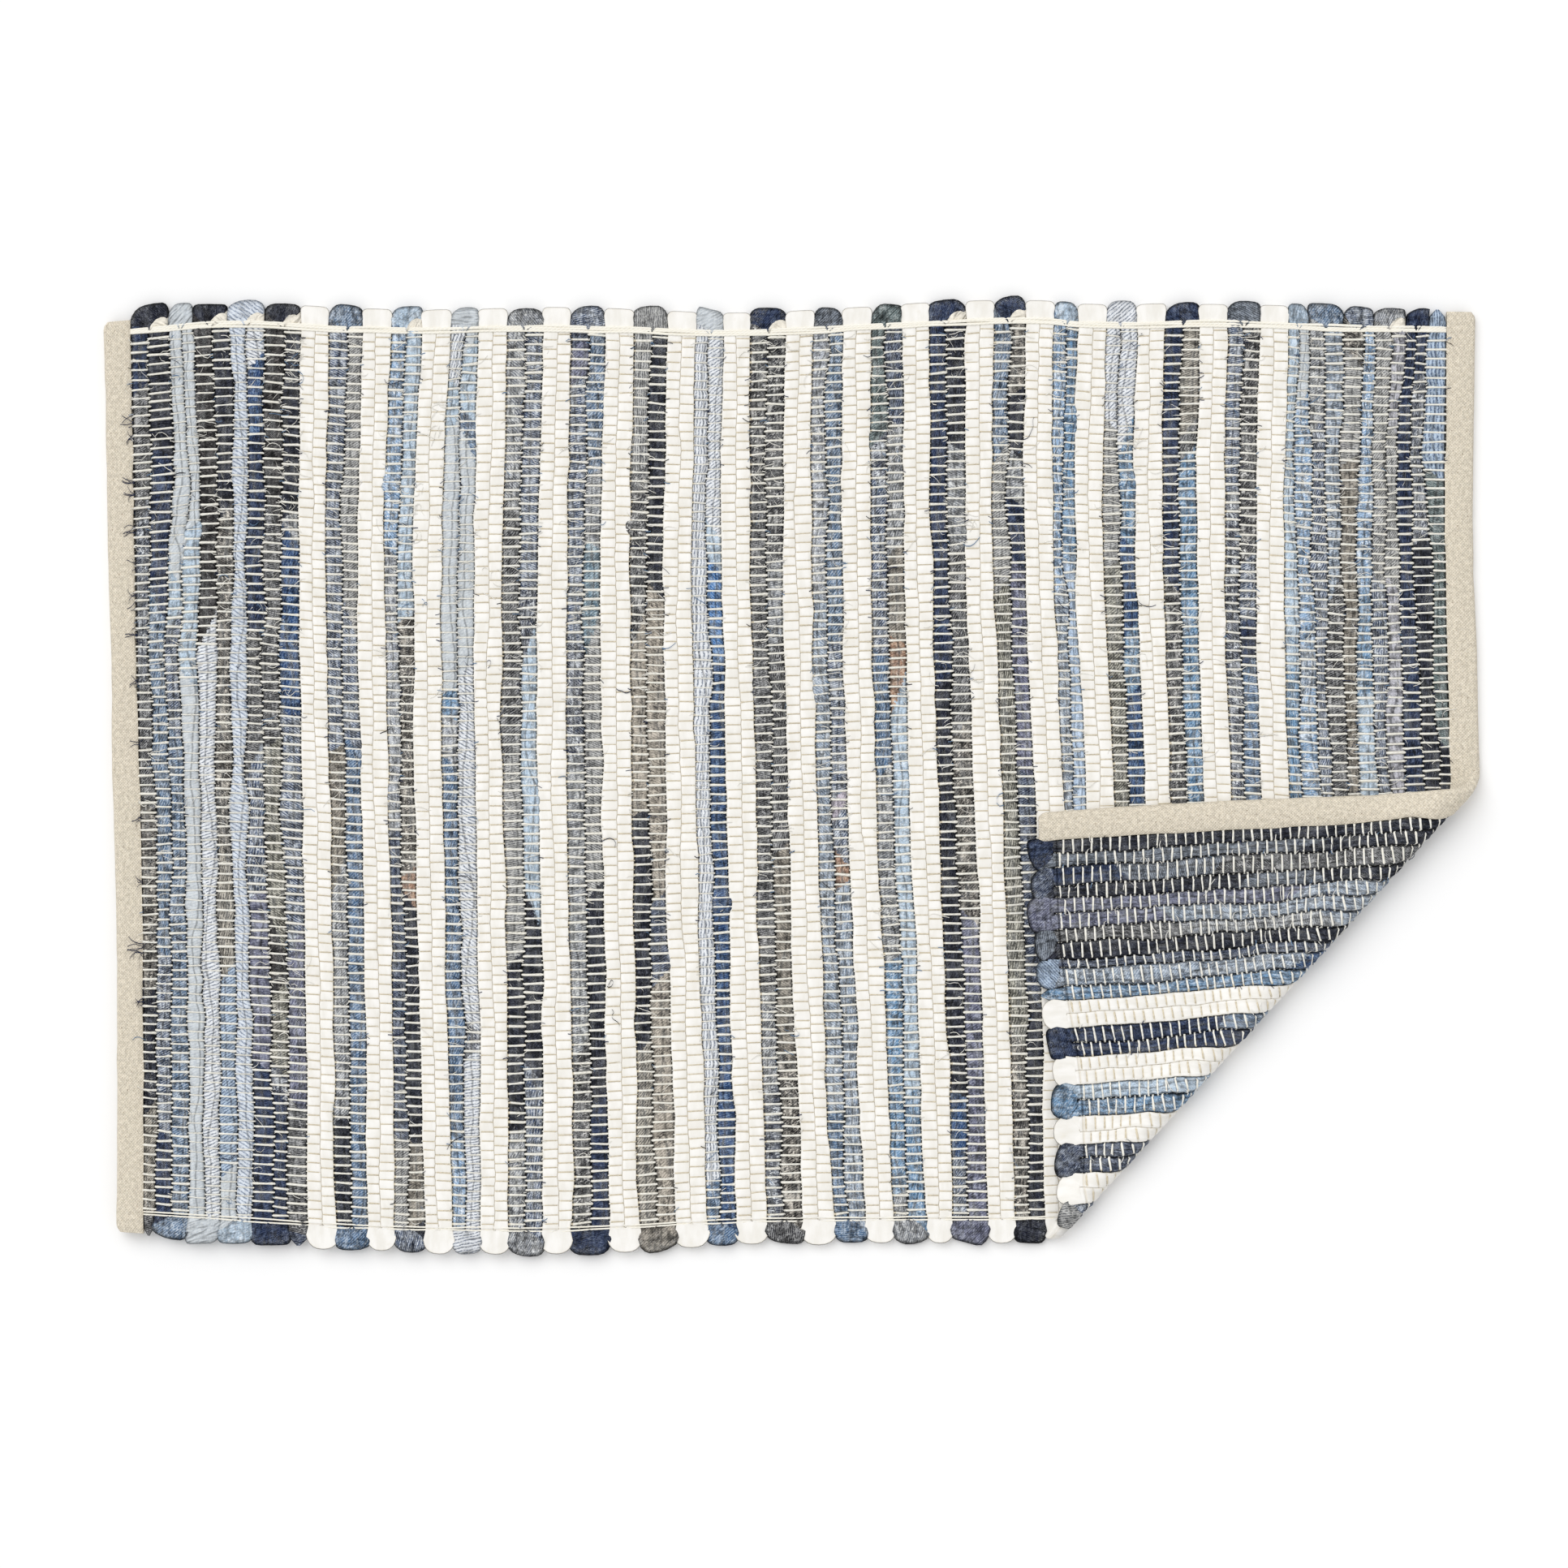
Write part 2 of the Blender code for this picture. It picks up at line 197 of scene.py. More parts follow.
# A strand's section as (side, height) shares, where its face shows and where its back shows
FACE_SECTION = (
    ((-1, 0.1), (-0.87, 0.78), (-0.4, 1), (0.4, 1), (0.87, 0.78), (1, 0.1), (0.55, -1), (-0.55, -1)),
    ((-1, 0.70), (-0.90, 0.93), (-0.5, 1), (0.5, 1), (0.90, 0.93), (1, 0.70), (0.6, -1), (-0.6, -1)),
)
BACK_SECTION = (
    ((-0.87, -0.78), (-1, -0.1), (-0.55, 1), (0.55, 1), (1, -0.1), (0.87, -0.78), (0.4, -1), (-0.4, -1)),
    ((-0.90, -0.93), (-1, -0.70), (-0.6, 1), (0.6, 1), (1, -0.70), (0.90, -0.93), (0.5, -1), (-0.5, -1)),
)

# Rings near a crossing: (share of WARP_GAP from it, dip of the face, dip of the back)
RINGS_OVER = ((-0.22, 0.12, 0.0), (0.0, 1.0, 0.0), (0.22, 0.12, 0.0))
RINGS_UNDER = ((-0.24, 0.0, 1.0), (0.24, 0.0, 1.0))
RINGS_OVER_BACK = ((-0.24, 1.0, 0.0), (0.24, 1.0, 0.0))
RINGS_UNDER_BACK = ((-0.28, 0.0, 0.3), (0.0, 0.0, 1.0), (0.28, 0.0, 0.3))

# ---------------------------------------------------------------- loose threads and bindings

THREADS = {"black": (34, 32, 38), "blue": (112, 140, 172), "navy": (44, 52, 80), "white": (240, 238, 232)}
THREAD_SHARES = (0.10, 0.16, 0.20, 0.54)
THREAD_RADIUS = (0.22, 0.36)   # the thinnest and thickest, mm
THREAD_LENGTH = (5, 15)        # mm
FRAY_LENGTH = (2.0, 4.5)       # mm
FRAY_INSET = 0.8 * MM          # of a short fray's root from the pick's edge
OVER_CREST = 0.15 * MM         # how much higher than the picks a thread lies
OVER_BINDING = 1.2 * MM        # and how much higher again on a binding
THREADS_A_PICK = 14            # on a whole pick of the most frayed rag
FRAYS_A_PICK = 28
PLACES_FRAYED = (0.015, 0.985) # how far down a pick the first and last thread can be
COLOURED_THREADS = 0.3         # share of the long threads that can be another colour than white
# Threads that stand out: (x, y, heading in degrees, length) in mm on the cloth
THREAD_CHART = {
    "white": ((-425, 228, -80, 34), (-421, 208, -40, 16), (-390, 226, 30, 14), (-380, 222, 140, 12)),
    "navy": ((-367, 75, -30, 10), (-196, 74, 30, 10), (-190, 42, 20, 12), (-112, 60, -30, 10),
             (157, 219, 0, 18), (200, -35, 20, 12), (301, -33, -10, 8)),
    "black": ((-120, -136, 80, 12), (-118, -152, -100, 14), (-262, 35, 200, 9)),
    "blue": ((-240, 120, 20, 12), (60, 75, 150, 10)),
}

# Where threads of the first pick stick out over the left binding: (y, length), mm
BINDING_FRAYS = ((238, 9), (226, 8), (196, 9), (188, 8), (163, 9), (141, 7), (118, 9), (94, 9), (60, 7),
                 (21, 7), (-31, 7), (-74, 6), (-116, 12), (-121, 12), (-150, 9), (-154, 7))
THREADS_A_FRAY = 4
# Tangles of pale threads: (x, y, half-length along the pick), mm
TANGLES = (
    (-331, 275, 28), (-333, 215, 16), (-330, 176, 12), (-399, 222, 14), (-404, 165, 12), (-378, 185, 14),
    (-372, 118, 12), (-402, 80, 10), (-233, 236, 18), (-219, 256, 16), (-262, 87, 16), (-189, 130, 12),
    (-212, 150, 12), (-246, 176, 14), (229, 230, 16), (213, 176, 14), (246, 150, 12), (-90, 110, 12),
    (-20, 200, 12), (70, 60, 12), (120, 160, 12), (-400, -20, 14), (-330, -140, 14), (20, -90, 12),
)
THREADS_A_TANGLE = 9
TANGLE_WIDTH = 3.5 * MM
TANGLED_LENGTH = (5, 12)       # mm

BINDING_ROWS = 240
BINDING_SHARES = np.linspace(0.12, 1, 6)   # where the tape's width has a point
BINDING_BULGE = 0.9 * MM       # of the tape on the face
BINDING_BULGE_UNDER = 1.6 * MM
BINDING_CORNER = 5 * MM        # length of a binding's rounded end
RIGHT_BINDING_LONGER = 4 * MM  # at its far end
LEFT_BINDING_LONGER = 4 * MM   # at its near end

# ---------------------------------------------------------------- stage

FRAME_WIDTH = 1.0452           # of the floor that the photo shows
FRAME_MIDDLE = (-0.0032, -0.0038)
CAMERA_HEIGHT = 4.0
SKY_STRENGTH = 0.73
KEY_TOWARD = (0.42, -0.55, -1.0)
KEY_STRENGTH = 1.32
KEY_SOFTNESS = math.radians(50)
FLOOR_REACH = 6.0
FLOOR_COLOUR = (0.96, 0.96, 0.96, 1)   # linear

# ---------------------------------------------------------------- the rags

PLY_PITCH = 3.0                # mm for one turn of a warp's ply
CANVAS_PITCH = 1.0             # mm between the canvas's threads
CLOTH_GLOSS = 0.06

# Colours are sRGB
FRAYS = (232, 234, 235)
COTTON_DARK, COTTON_LIGHT = (235, 232, 225), (246, 244, 240)
# The first is a stain colour; the second is painted shade, for the hollows under warps and the edges of a
# pick
COTTON_STAIN, COTTON_SHADE = (230, 223, 207), (220, 210, 188)
CORD_DARK, CORD_LIGHT = (250, 247, 236), (255, 254, 248)
# The first is painted shade in the grooves between a cord's plies; the second is the bundles' own tan, and
# painted shade on warps in white cotton
CORD_GROOVE_SHADE, CORD_TAN_AND_SHADE = (238, 231, 214), (222, 211, 187)
CANVAS_DARK, CANVAS_LIGHT, CANVAS_SEED = (204, 192, 170), (243, 235, 219), (132, 106, 82)

PALE = 185                     # a rag is pale if no channel of its ground is below this

# name: (ground, flecks and twill lines, twill strength, fleck strength, mm between twill lines)
FABRICS = {
    "navy": ((24, 35, 62), (128, 142, 168), 0.20, 0.38, 1.2),
    "ink": ((20, 23, 36), (132, 136, 146), 0.15, 0.36, 1.2),
    "black": ((22, 21, 24), (146, 142, 140), 0.15, 0.42, 1.2),
    "indigo": ((28, 56, 98), (160, 182, 206), 0.25, 0.50, 1.3),
    "bright": ((56, 102, 156), (196, 214, 230), 0.35, 0.50, 1.6),
    "blue": ((82, 120, 154), (214, 222, 229), 0.30, 0.70, 1.4),
    "light_blue": ((164, 183, 201), (226, 230, 232), 0.25, 0.60, 1.6),
    "lavender": ((164, 184, 208), (220, 226, 234), 0.25, 0.40, 1.6),
    "pale": ((206, 211, 214), (158, 169, 183), 0.40, 0.30, 1.8),
    "pale_twill": ((228, 231, 235), (98, 108, 126), 0.85, 0.15, 2.0),
    "pale_blue_twill": ((214, 221, 230), (112, 126, 150), 0.80, 0.10, 2.3),
    "grey_twill": ((182, 182, 180), (58, 61, 71), 0.90, 0.35, 1.3),
    "taupe_twill": ((168, 163, 153), (56, 55, 58), 0.90, 0.35, 1.3),
    "slate_twill": ((132, 139, 148), (44, 50, 64), 0.90, 0.35, 1.3),
    "blue_twill": ((170, 186, 204), (76, 94, 124), 0.90, 0.20, 1.6),
    "grey": ((108, 112, 120), (218, 219, 217), 0.60, 0.80, 1.3),
    "lilac": ((160, 160, 168), (208, 208, 212), 0.20, 0.45, 1.4),
    "taupe": ((156, 150, 140), (50, 46, 46), 0.60, 0.75, 1.3),
    "olive": ((84, 84, 78), (200, 197, 186), 0.70, 0.70, 1.3),
    "charcoal": ((32, 33, 39), (196, 196, 196), 0.50, 0.75, 1.2),
    "slate": ((56, 70, 96), (214, 219, 224), 0.60, 0.80, 1.3),
    "slate_navy": ((36, 46, 70), (178, 186, 198), 0.35, 0.62, 1.2),
    "slate_blue": ((74, 98, 126), (212, 219, 225), 0.45, 0.60, 1.4),
    "light_slate": ((118, 132, 150), (222, 226, 228), 0.45, 0.60, 1.4),
    "steel": ((66, 94, 126), (202, 212, 222), 0.40, 0.60, 1.4),
    "teal": ((90, 114, 130), (206, 218, 222), 0.40, 0.60, 1.3),
    "green_slate": ((74, 88, 90), (190, 196, 194), 0.30, 0.50, 1.3),
    "purple": ((82, 84, 106), (184, 188, 202), 0.35, 0.60, 1.3),
    "mauve": ((172, 164, 176), (206, 202, 208), 0.30, 0.50, 1.3),
    "rust": ((142, 110, 92), (206, 188, 168), 0.30, 0.70, 1.3),
    "navy_mix": ((34, 42, 62), (222, 226, 230), 0.30, 1.00, 1.2),
    "ink_mix": ((22, 23, 32), (214, 213, 210), 0.20, 0.95, 1.2),
    "black_mix": ((28, 27, 30), (214, 208, 198), 0.30, 1.00, 1.2),
    "taupe_mix": ((188, 180, 168), (50, 47, 46), 0.50, 1.00, 1.3),
    "blue_mix": ((112, 143, 176), (226, 231, 236), 0.35, 1.00, 1.4),
    "grey_mix": ((138, 143, 153), (228, 230, 230), 0.35, 1.00, 1.3),
    "white": ((240, 239, 234), (226, 223, 214), 0.00, 0.00, 1.3),
    "cotton": ((238, 232, 219), (248, 244, 236), 0.00, 0.00, 1.3),
}

# The rags of each pick, from the far selvedge to the near one. A number is how far down the pick the rag
# ends, in percent. After it, > or < says that the next rag comes in slowly from the right or the left.
LEFT_BORDER = (
    "navy 7, charcoal 21>, navy_mix 40, charcoal 54, black_mix 75, ink 88, taupe_twill 100",
    "ink 14, navy 31<, slate_blue 70, slate 90, navy 100",
    "pale 27, light_blue 32, slate 45, slate_blue 100",
    "pale 22, light_blue 40, pale 100",
    "black 36>, pale_twill 100",
    "ink 21, black_mix 59<, taupe_twill 72, blue_twill 94, pale 100",
    "pale_blue_twill 100",
    "pale_twill 4, indigo 12, navy 34, charcoal 48>, slate 63, purple 82, navy 100",
    "black 22, charcoal 47, olive 68<, black 74, olive 83, navy_mix 86, navy 100",
    "ink 21, grey 23, indigo 43, slate 68>, purple 86, charcoal 100",
)
DENIM_STRIPES = (
    ("slate 47, taupe 61>, grey 88, ink 100", "grey_twill 32<, slate 46, steel 100"),
    ("blue_mix 25, grey_mix 56, slate_navy 90, grey_twill 100",
     "light_blue 32, black_mix 60, rust 63, ink 90, taupe 99, ink 100"),
    ("pale_twill 6, light_blue 11, pale 39, blue 42, grey_mix 47, steel 90, blue_mix 100",
     "pale 2, light_blue 10, steel 13<, pale 38, pale_twill 77, navy_mix 80, pale_twill 100"),
    ("grey 20, charcoal 47>, grey_twill 70, ink 89, grey 100",
     "slate 29, navy_mix 35>, light_blue 64<, ink 82, slate 100"),
    ("slate_navy 2, purple 6, slate 35, navy_mix 47, grey 80>, ink_mix 100",
     "slate_blue 16, grey 24, teal 34>, grey_twill 62, ink 85, navy 100"),
    ("grey_twill 16, ink_mix 34>, taupe_mix 54, ink 80, taupe_twill 100",
     "ink 29, taupe_mix 63, slate_navy 72, taupe_mix 100"),
    ("pale_twill 95, steel 100", "pale_twill 21, light_blue 25, bright 36, indigo 100"),
    ("ink_mix 20, charcoal 75, grey 85, navy_mix 100",
     "ink_mix 26, grey 35, charcoal 58, taupe 81, black_mix 100"),
    ("grey_mix 30, light_slate 88, steel 100",
     "slate_blue 35, slate 52, mauve 54, slate 59, rust 62, light_slate 100"),
    ("green_slate 13, navy_mix 18, slate 37, steel 50, grey 71, blue 97, grey 100",
     "slate_navy 11, grey 25, taupe 35, rust 41>, light_blue 85, blue 100"),
    ("navy 40, ink 86, indigo 93, slate 100", "ink 14, grey 25, charcoal 45, black_mix 66, purple 100"),
    ("slate_blue 15, grey_twill 30, olive 80, black_mix 100",
     "black_mix 8, ink 15, grey 20, navy 27, purple 50, slate_navy 75, ink 100"),
    ("blue_mix 30, light_slate 60, blue_mix 80, slate 100", "blue 27, lavender 66, slate 100"),
    ("pale_twill 11, grey_twill 27, olive 85, slate_navy 100",
     "pale_twill 12>, blue 24, indigo 34, blue 41, indigo 70, slate_navy 100"),
    ("navy 30, ink_mix 85, blue 100", "taupe_twill 12, charcoal 15, blue 85, light_blue 100"),
    ("slate 20, navy_mix 80, navy 100", "ink_mix 27, slate 34, navy 39, steel 78, slate_blue 84, navy 100"),
)
RIGHT_BORDER = (
    "light_blue 40, blue 100",
    "pale 8, blue_mix 37, light_slate 42, blue_mix 65, steel 70, indigo 75, light_slate 100",
    "grey 12, slate 70, slate_navy 100",
    "light_slate 30>, charcoal 55, ink 100",
    "black_mix 4, grey_twill 16, taupe 62, light_slate 72, grey 87, charcoal 100",
    "blue_mix 30>, blue 43, light_blue 60, light_slate 88, purple 100",
    "grey_twill 30, slate 58, light_slate 75, purple 100",
    "lilac 12, grey_twill 30, lilac 58, ink 72, slate_twill 80, ink 100",
    "navy 56, charcoal 83, slate_twill 93, navy 100",
    "navy 6, navy_mix 25, ink 73>, slate_twill 100",
    "blue_twill 18, green_slate 50, ink 100",
)

# Knots and lumps: (pick, percent of the way down, wider to the left, to the right, higher, half-length), mm
LUMPS = (
    (4, 9, 1.5, 1.0, 1.2, 8), (3, 23, 1.5, 2.0, 1.2, 5), (4, 37, 0.5, 1.0, 0.8, 6),
    (2, 25, 0.5, 2.5, 0.6, 12), (8, 22, 0.5, 0.8, 0.6, 7), (13, 47, 0.5, 1.5, 0.6, 12),
    (16, 17, 2.5, 0.5, 1.0, 9), (16, 52, 1.0, 0.0, 0.6, 9), (21, 12, 0.5, 1.0, 0.5, 14),
    (24, 44, 1.0, 0.5, 0.6, 8), (25, 52, 0.0, 1.5, 0.7, 16), (29, 8, 1.0, 1.5, 0.8, 16),
    (32, 22, 4.0, 0.0, 1.3, 5), (33, 70, 0.0, 1.5, 0.5, 8), (37, 64, 1.0, 2.5, 1.2, 5),
    (40, 40, 1.2, 0.0, 0.6, 9), (44, 40, 1.5, 0.5, 0.8, 12), (48, 12, 1.2, 1.0, 0.9, 14),
    (49, 50, 0.0, 1.2, 0.7, 12), (53, 24, 0.0, 1.5, 0.8, 8), (56, 70, 1.0, 0.5, 0.6, 9),
    (61, 11, 1.0, 2.0, 0.8, 9), (65, 18, 0.5, 1.5, 0.6, 9), (69, 50, 0.0, 1.2, 0.6, 8),
    (73, 42, 1.0, 0.5, 0.6, 6), (77, 33, 1.0, 0.5, 0.7, 8), (80, 19, 0.5, 1.5, 0.8, 8),
    (83, 42, 1.0, 0.6, 0.6, 8),
)

# The rags of the turning loops, from left to right: at the far selvedge and at the near one.
# After a + the loop shows cotton at its right.
LEFT_FAR_LOOPS = "ink+ pale ink+ pale_blue_twill+ ink+"
LEFT_NEAR_LOOPS = "charcoal slate_blue pale light_blue navy slate_navy"
STRIPE_FAR_LOOPS = ("slate_blue light_blue+ pale grey slate grey_twill pale navy+ slate_twill green_slate"
                    " navy+ navy+ light_blue pale_twill navy slate_twill")
STRIPE_NEAR_LOOPS = ("steel slate pale_twill grey navy taupe steel charcoal steel grey purple ink"
                     " grey_twill slate_navy blue navy")
RIGHT_FAR_LOOPS = "light_blue slate_blue slate grey+ navy blue_twill"
RIGHT_NEAR_LOOPS = "blue blue_twill slate_twill purple slate_navy navy"

TAPER = (3 * MM, 9 * MM)       # the shortest and longest half-length of an ordinary change of rag
SLOW_TAPER = 17 * MM           # half-length of a slow one
LOOP_TAPER = 1.5 * MM
COTTON_TAPER = 6 * MM          # and where a loop shows cotton
COTTON_LENGTH = 7 * MM         # of that cotton
TWILL_ANGLES = (0.9, -0.9, 0.7, 0.25, 1.3)   # of a rag's twill lines, in radians
TWILL_TURN = 0.12              # how far a rag's lines stray from that
PATTERN_APART = 97.0           # mm from one pick's place in the rags' pattern to the next one's


def linear(colour):
    """An sRGB colour from 0 to 255 as linear light, with an alpha of 1."""
    shares = [value / 255 for value in colour]
    return tuple(share / 12.92 if share <= 0.04045 else ((share + 0.055) / 1.055) ** 2.4
                 for share in shares) + (1.0,)


def summed(steps):
    """The running total of some steps, from 0."""
    return np.concatenate(([0], np.cumsum(steps)))


def length_round(section):
    """How far round a closed section each of its points is, and the whole way round."""
    return summed(np.linalg.norm(np.roll(section, -1, axis=0) - section, axis=1))


# ---------------------------------------------------------------- how the cloth lies

def hermite(left, right, left_slope, right_slope, width, share):
    """Smooth step from one value to the next with given slopes."""
    cube, square = share ** 3, share ** 2
    return ((2 * cube - 3 * square + 1) * left + (cube - 2 * square + share) * width * left_slope
            + (3 * square - 2 * cube) * right + (cube - square) * width * right_slope)


def through(stations, values, at):
    """A smooth curve through the values at the stations. values may hold a column for each point of at."""
    values = np.asarray(values, float)
    slopes = np.gradient(values, stations, axis=0)
    i = np.clip(np.searchsorted(stations, at) - 1, 0, len(stations) - 2)
    width = stations[i + 1] - stations[i]
    share = np.clip((at - stations[i]) / width, 0.0, 1.0)
    low, high = (i, i + 1) if values.ndim == 1 else ((i, np.arange(len(at))), (i + 1, np.arange(len(at))))
    return hermite(values[low], values[high], slopes[low], slopes[high], width, share)


def on_ground(along, across):
    """Where points of the cloth would lie if no corner were folded."""
    table = np.array(LIE, float) * MM
    column = {name: table[:, k] for k, name in enumerate(LIE_COLUMNS)}
    stations = column["along"]
    down = 0.5 - across / PICK_SPAN
    far, near = (through(stations, column[name], along) for name in ("far", "near"))
    leans = [np.zeros_like(along)] + [through(stations, column["lean_%d" % round(100 * share)], along)
                                      for share in LEAN_SHARES[1:]]
    lean = through(np.array(LEAN_SHARES), np.array(leans), down)
    return np.stack((along + lean, across + SPAN_SHIFT + far * (1 - down) + near * down), axis=1)


def bend_radius(place):
    """The radius of the fold's bend at places along the fold."""
    return BEND_AT_START + (BEND_AT_END - BEND_AT_START) * place / FOLD_LENGTH


def fold_place(ground):
    """Distance past the line where the bend starts, and place along that line."""
    offset = ground - FOLD_START
    return offset @ FOLD_ACROSS, offset @ FOLD_ALONG


def rolled(past, place):
    """The cloth's middle after the bend: reach past the fold's start, rise, and the angle turned."""
    radius = bend_radius(place)
    drop = 1 + math.cos(SETTLE_SLOPE) - SETTLE_BEND * (1 - math.cos(SETTLE_SLOPE))
    slope = (drop * radius - THICKNESS - FLAP_GAP) / math.sin(SETTLE_SLOPE)
    first = (math.pi + SETTLE_SLOPE) * radius
    third = first + slope + SETTLE_BEND * radius * SETTLE_SLOPE
    angle = np.clip(past, 0, first) / radius
    straight = np.clip(past - first, 0, slope)
    wide = SETTLE_BEND * radius
    back = np.clip(past - first - slope, 0, third - first - slope) / wide
    reach = (radius * np.sin(angle) - straight * math.cos(SETTLE_SLOPE)
             - wide * (math.sin(SETTLE_SLOPE) - np.sin(SETTLE_SLOPE - back)) - np.maximum(past - third, 0))
    rise = (radius * (1 - np.cos(angle)) - straight * math.sin(SETTLE_SLOPE)
            - wide * (np.cos(SETTLE_SLOPE - back) - math.cos(SETTLE_SLOPE)))
    return np.where(past > 0, reach, past), rise, angle - back


def lay(points):
    """Cloth coordinates (along, across, height) to where the points lie."""
    points = np.asarray(points, float)
    past, place = fold_place(on_ground(points[:, 0], points[:, 1]))
    reach, rise, angle = rolled(past, place)
    reach = reach - points[:, 2] * np.sin(angle)
    flat = FOLD_START + place[:, None] * FOLD_ALONG + reach[:, None] * FOLD_ACROSS
    level = np.maximum(HALF + rise + points[:, 2] * np.cos(angle), ROOM_UNDER)
    return np.column_stack((flat, level))


def turned_over(along, across):
    """0 where the cloth's face shows, 1 where its back does, on the flap."""
    past, place = fold_place(on_ground(np.atleast_1d(along), np.atleast_1d(across)))
    return np.clip(past / (math.pi / 2 * bend_radius(place)), 0.0, 1.0)


# ---------------------------------------------------------------- where picks and warps are

def wander(rng, length, step, size):
    """Smooth random numbers, about size each, that turn every step places."""
    knots = rng.normal(0, size, length // step + 4)
    places = np.arange(length) / step + 1
    base = places.astype(int)
    share = places - base
    near, far = knots[base], knots[base + 1]
    return near + (far - near) * share * share * (3 - 2 * share)


def pick_edges():
    """The grooves between the picks of a perfectly even cloth, from left to right."""
    whites = [FIRST_WHITE_AT + k * STRIPE_PITCH + drift for k, drift in enumerate(WHITE_DRIFT)]
    edges = list(np.linspace(-BINDING_EDGE, whites[0] - WHITE_WIDTH / 2, LEFT_BORDER_PICKS + 1))
    for k, centre in enumerate(whites):
        edges += [centre, centre + WHITE_WIDTH / 2]
        if k + 1 < len(whites):
            denim_end = whites[k + 1] - WHITE_WIDTH / 2
            edges += [(edges[-1] + denim_end) / 2, denim_end]
    return edges + list(np.linspace(edges[-1], BINDING_EDGE, RIGHT_BORDER_PICKS + 1))[1:]


def is_over(warp, pick):
    """Whether a warp runs over the face of a pick. The outer bundles stay on one side of the cloth."""
    if warp in (0, WARPS - 1):
        return True
    return warp not in (1, WARPS - 2) and (warp + pick) % 2 == 0


def is_white(pick):
    """Whether a pick is in a white stripe."""
    inner = pick - LEFT_BORDER_PICKS
    return 0 <= inner < PICKS - LEFT_BORDER_PICKS - RIGHT_BORDER_PICKS and inner % 4 < 2


def pick_bows():
    """How far each groove bows to the right halfway down the rug."""
    bows = list(np.linspace(0, WHITE_BOW[0], LEFT_BORDER_PICKS + 1))
    for k, bow in enumerate(WHITE_BOW):
        bows += [bow, bow]
        if k + 1 < len(WHITE_BOW):
            bows += [(bow + WHITE_BOW[k + 1]) / 2, WHITE_BOW[k + 1]]
    return bows + list(np.linspace(bows[-1], 0, RIGHT_BORDER_PICKS + 1))[1:]


rng = np.random.RandomState(SEED)
EDGES = pick_edges()
BOWS = pick_bows()

# Where each warp runs at each pick. Neighbouring warps crowd and part together.
crowding = np.array([wander(rng, WARPS, 5, WARP_CROWDING) for _ in range(PICKS // 8 + 2)])
crowding = np.array([np.interp(np.arange(PICKS) / 8, np.arange(len(crowding)), crowding[:, w])
                     for w in range(WARPS)])
WARP_ACROSS = (-SPAN_END + WARP_GAP * np.arange(WARPS)[:, None] + crowding
               + np.array([wander(rng, PICKS, 3, WARP_STRAY) for _ in range(WARPS)]))
WARP_ACROSS[:2] = BUNDLE_INSET - SPAN_END
WARP_ACROSS[-2:] = SPAN_END - BUNDLE_INSET
least_gaps = WARP_GAP * LEAST_GAP * np.arange(WARPS)[:, None]
WARP_ACROSS = np.maximum.accumulate(WARP_ACROSS - least_gaps, axis=0) + least_gaps


def groove_stray(j):
    """How far groove j strays at each warp."""
    size = 0.0 if j in (0, PICKS) else GROOVE_STRAY[is_white(j - 1) or is_white(j)]
    return sum(wander(rng, WARPS, step, wave * size * MM) for step, wave in GROOVE_WAVES)


STRAYS = np.array([groove_stray(j) for j in range(PICKS + 1)])


def border_shift(j, across):
    """How far groove j of a border is to the right of where it would be if all picks were as wide."""
    last = PICKS - RIGHT_BORDER_PICKS
    if 0 < j < LEFT_BORDER_PICKS:
        table, k, length = LEFT_WIDTHS, j, EDGES[LEFT_BORDER_PICKS] - EDGES[0]
    elif last < j < PICKS:
        table, k, length = RIGHT_WIDTHS, j - last, EDGES[PICKS] - EDGES[last]
    else:
        return 0.0
    places = [sum(widths[:k]) / sum(widths) - k / len(widths) for _down, widths in table]
    return length * np.interp(0.5 - across / PICK_SPAN, [down for down, _widths in table], places)


def groove(j, across):
    """Where groove j is at each place across."""
    warp = np.interp(across, WARP_ACROSS[:, min(j, PICKS - 1)], np.arange(WARPS))
    scallop = SCALLOP[is_white(j - 1) or is_white(j)] if 0 < j < PICKS else 0.0
    stray = np.interp(warp, np.arange(WARPS), STRAYS[j])
    bow = BOWS[j] * np.sqrt(np.maximum(np.cos(math.pi * across / PICK_SPAN), 0))
    return EDGES[j] + border_shift(j, across) + bow + stray + scallop * np.cos(math.pi * (warp + j))


def edges_at(pick, across):
    """Where a pick's left and right grooves are at one place across."""
    return [float(groove(j, np.array([across]))[0]) for j in (pick, pick + 1)]


def rags_of(pick):
    """The rags of a pick, from the far selvedge down: (rag, share of the way down where it starts, and
    where it ends, change after it)."""
    if is_white(pick):
        return [("white", 0.0, 1.0, "")]
    if pick < LEFT_BORDER_PICKS:
        text = LEFT_BORDER[pick]
    elif pick >= PICKS - RIGHT_BORDER_PICKS:
        text = RIGHT_BORDER[pick - (PICKS - RIGHT_BORDER_PICKS)]
    else:
        inner = pick - LEFT_BORDER_PICKS - 2
        text = DENIM_STRIPES[inner // 4][inner % 4]
    rows, above = [], 0.0
    for words in text.split(","):
        rag, ends = words.split()
        percent = ends.rstrip("<>")
        down = int(percent) / 100
        rows.append((rag, above, down, ends[len(percent):]))
        above = down
    return rows


# ---------------------------------------------------------------- rag strands

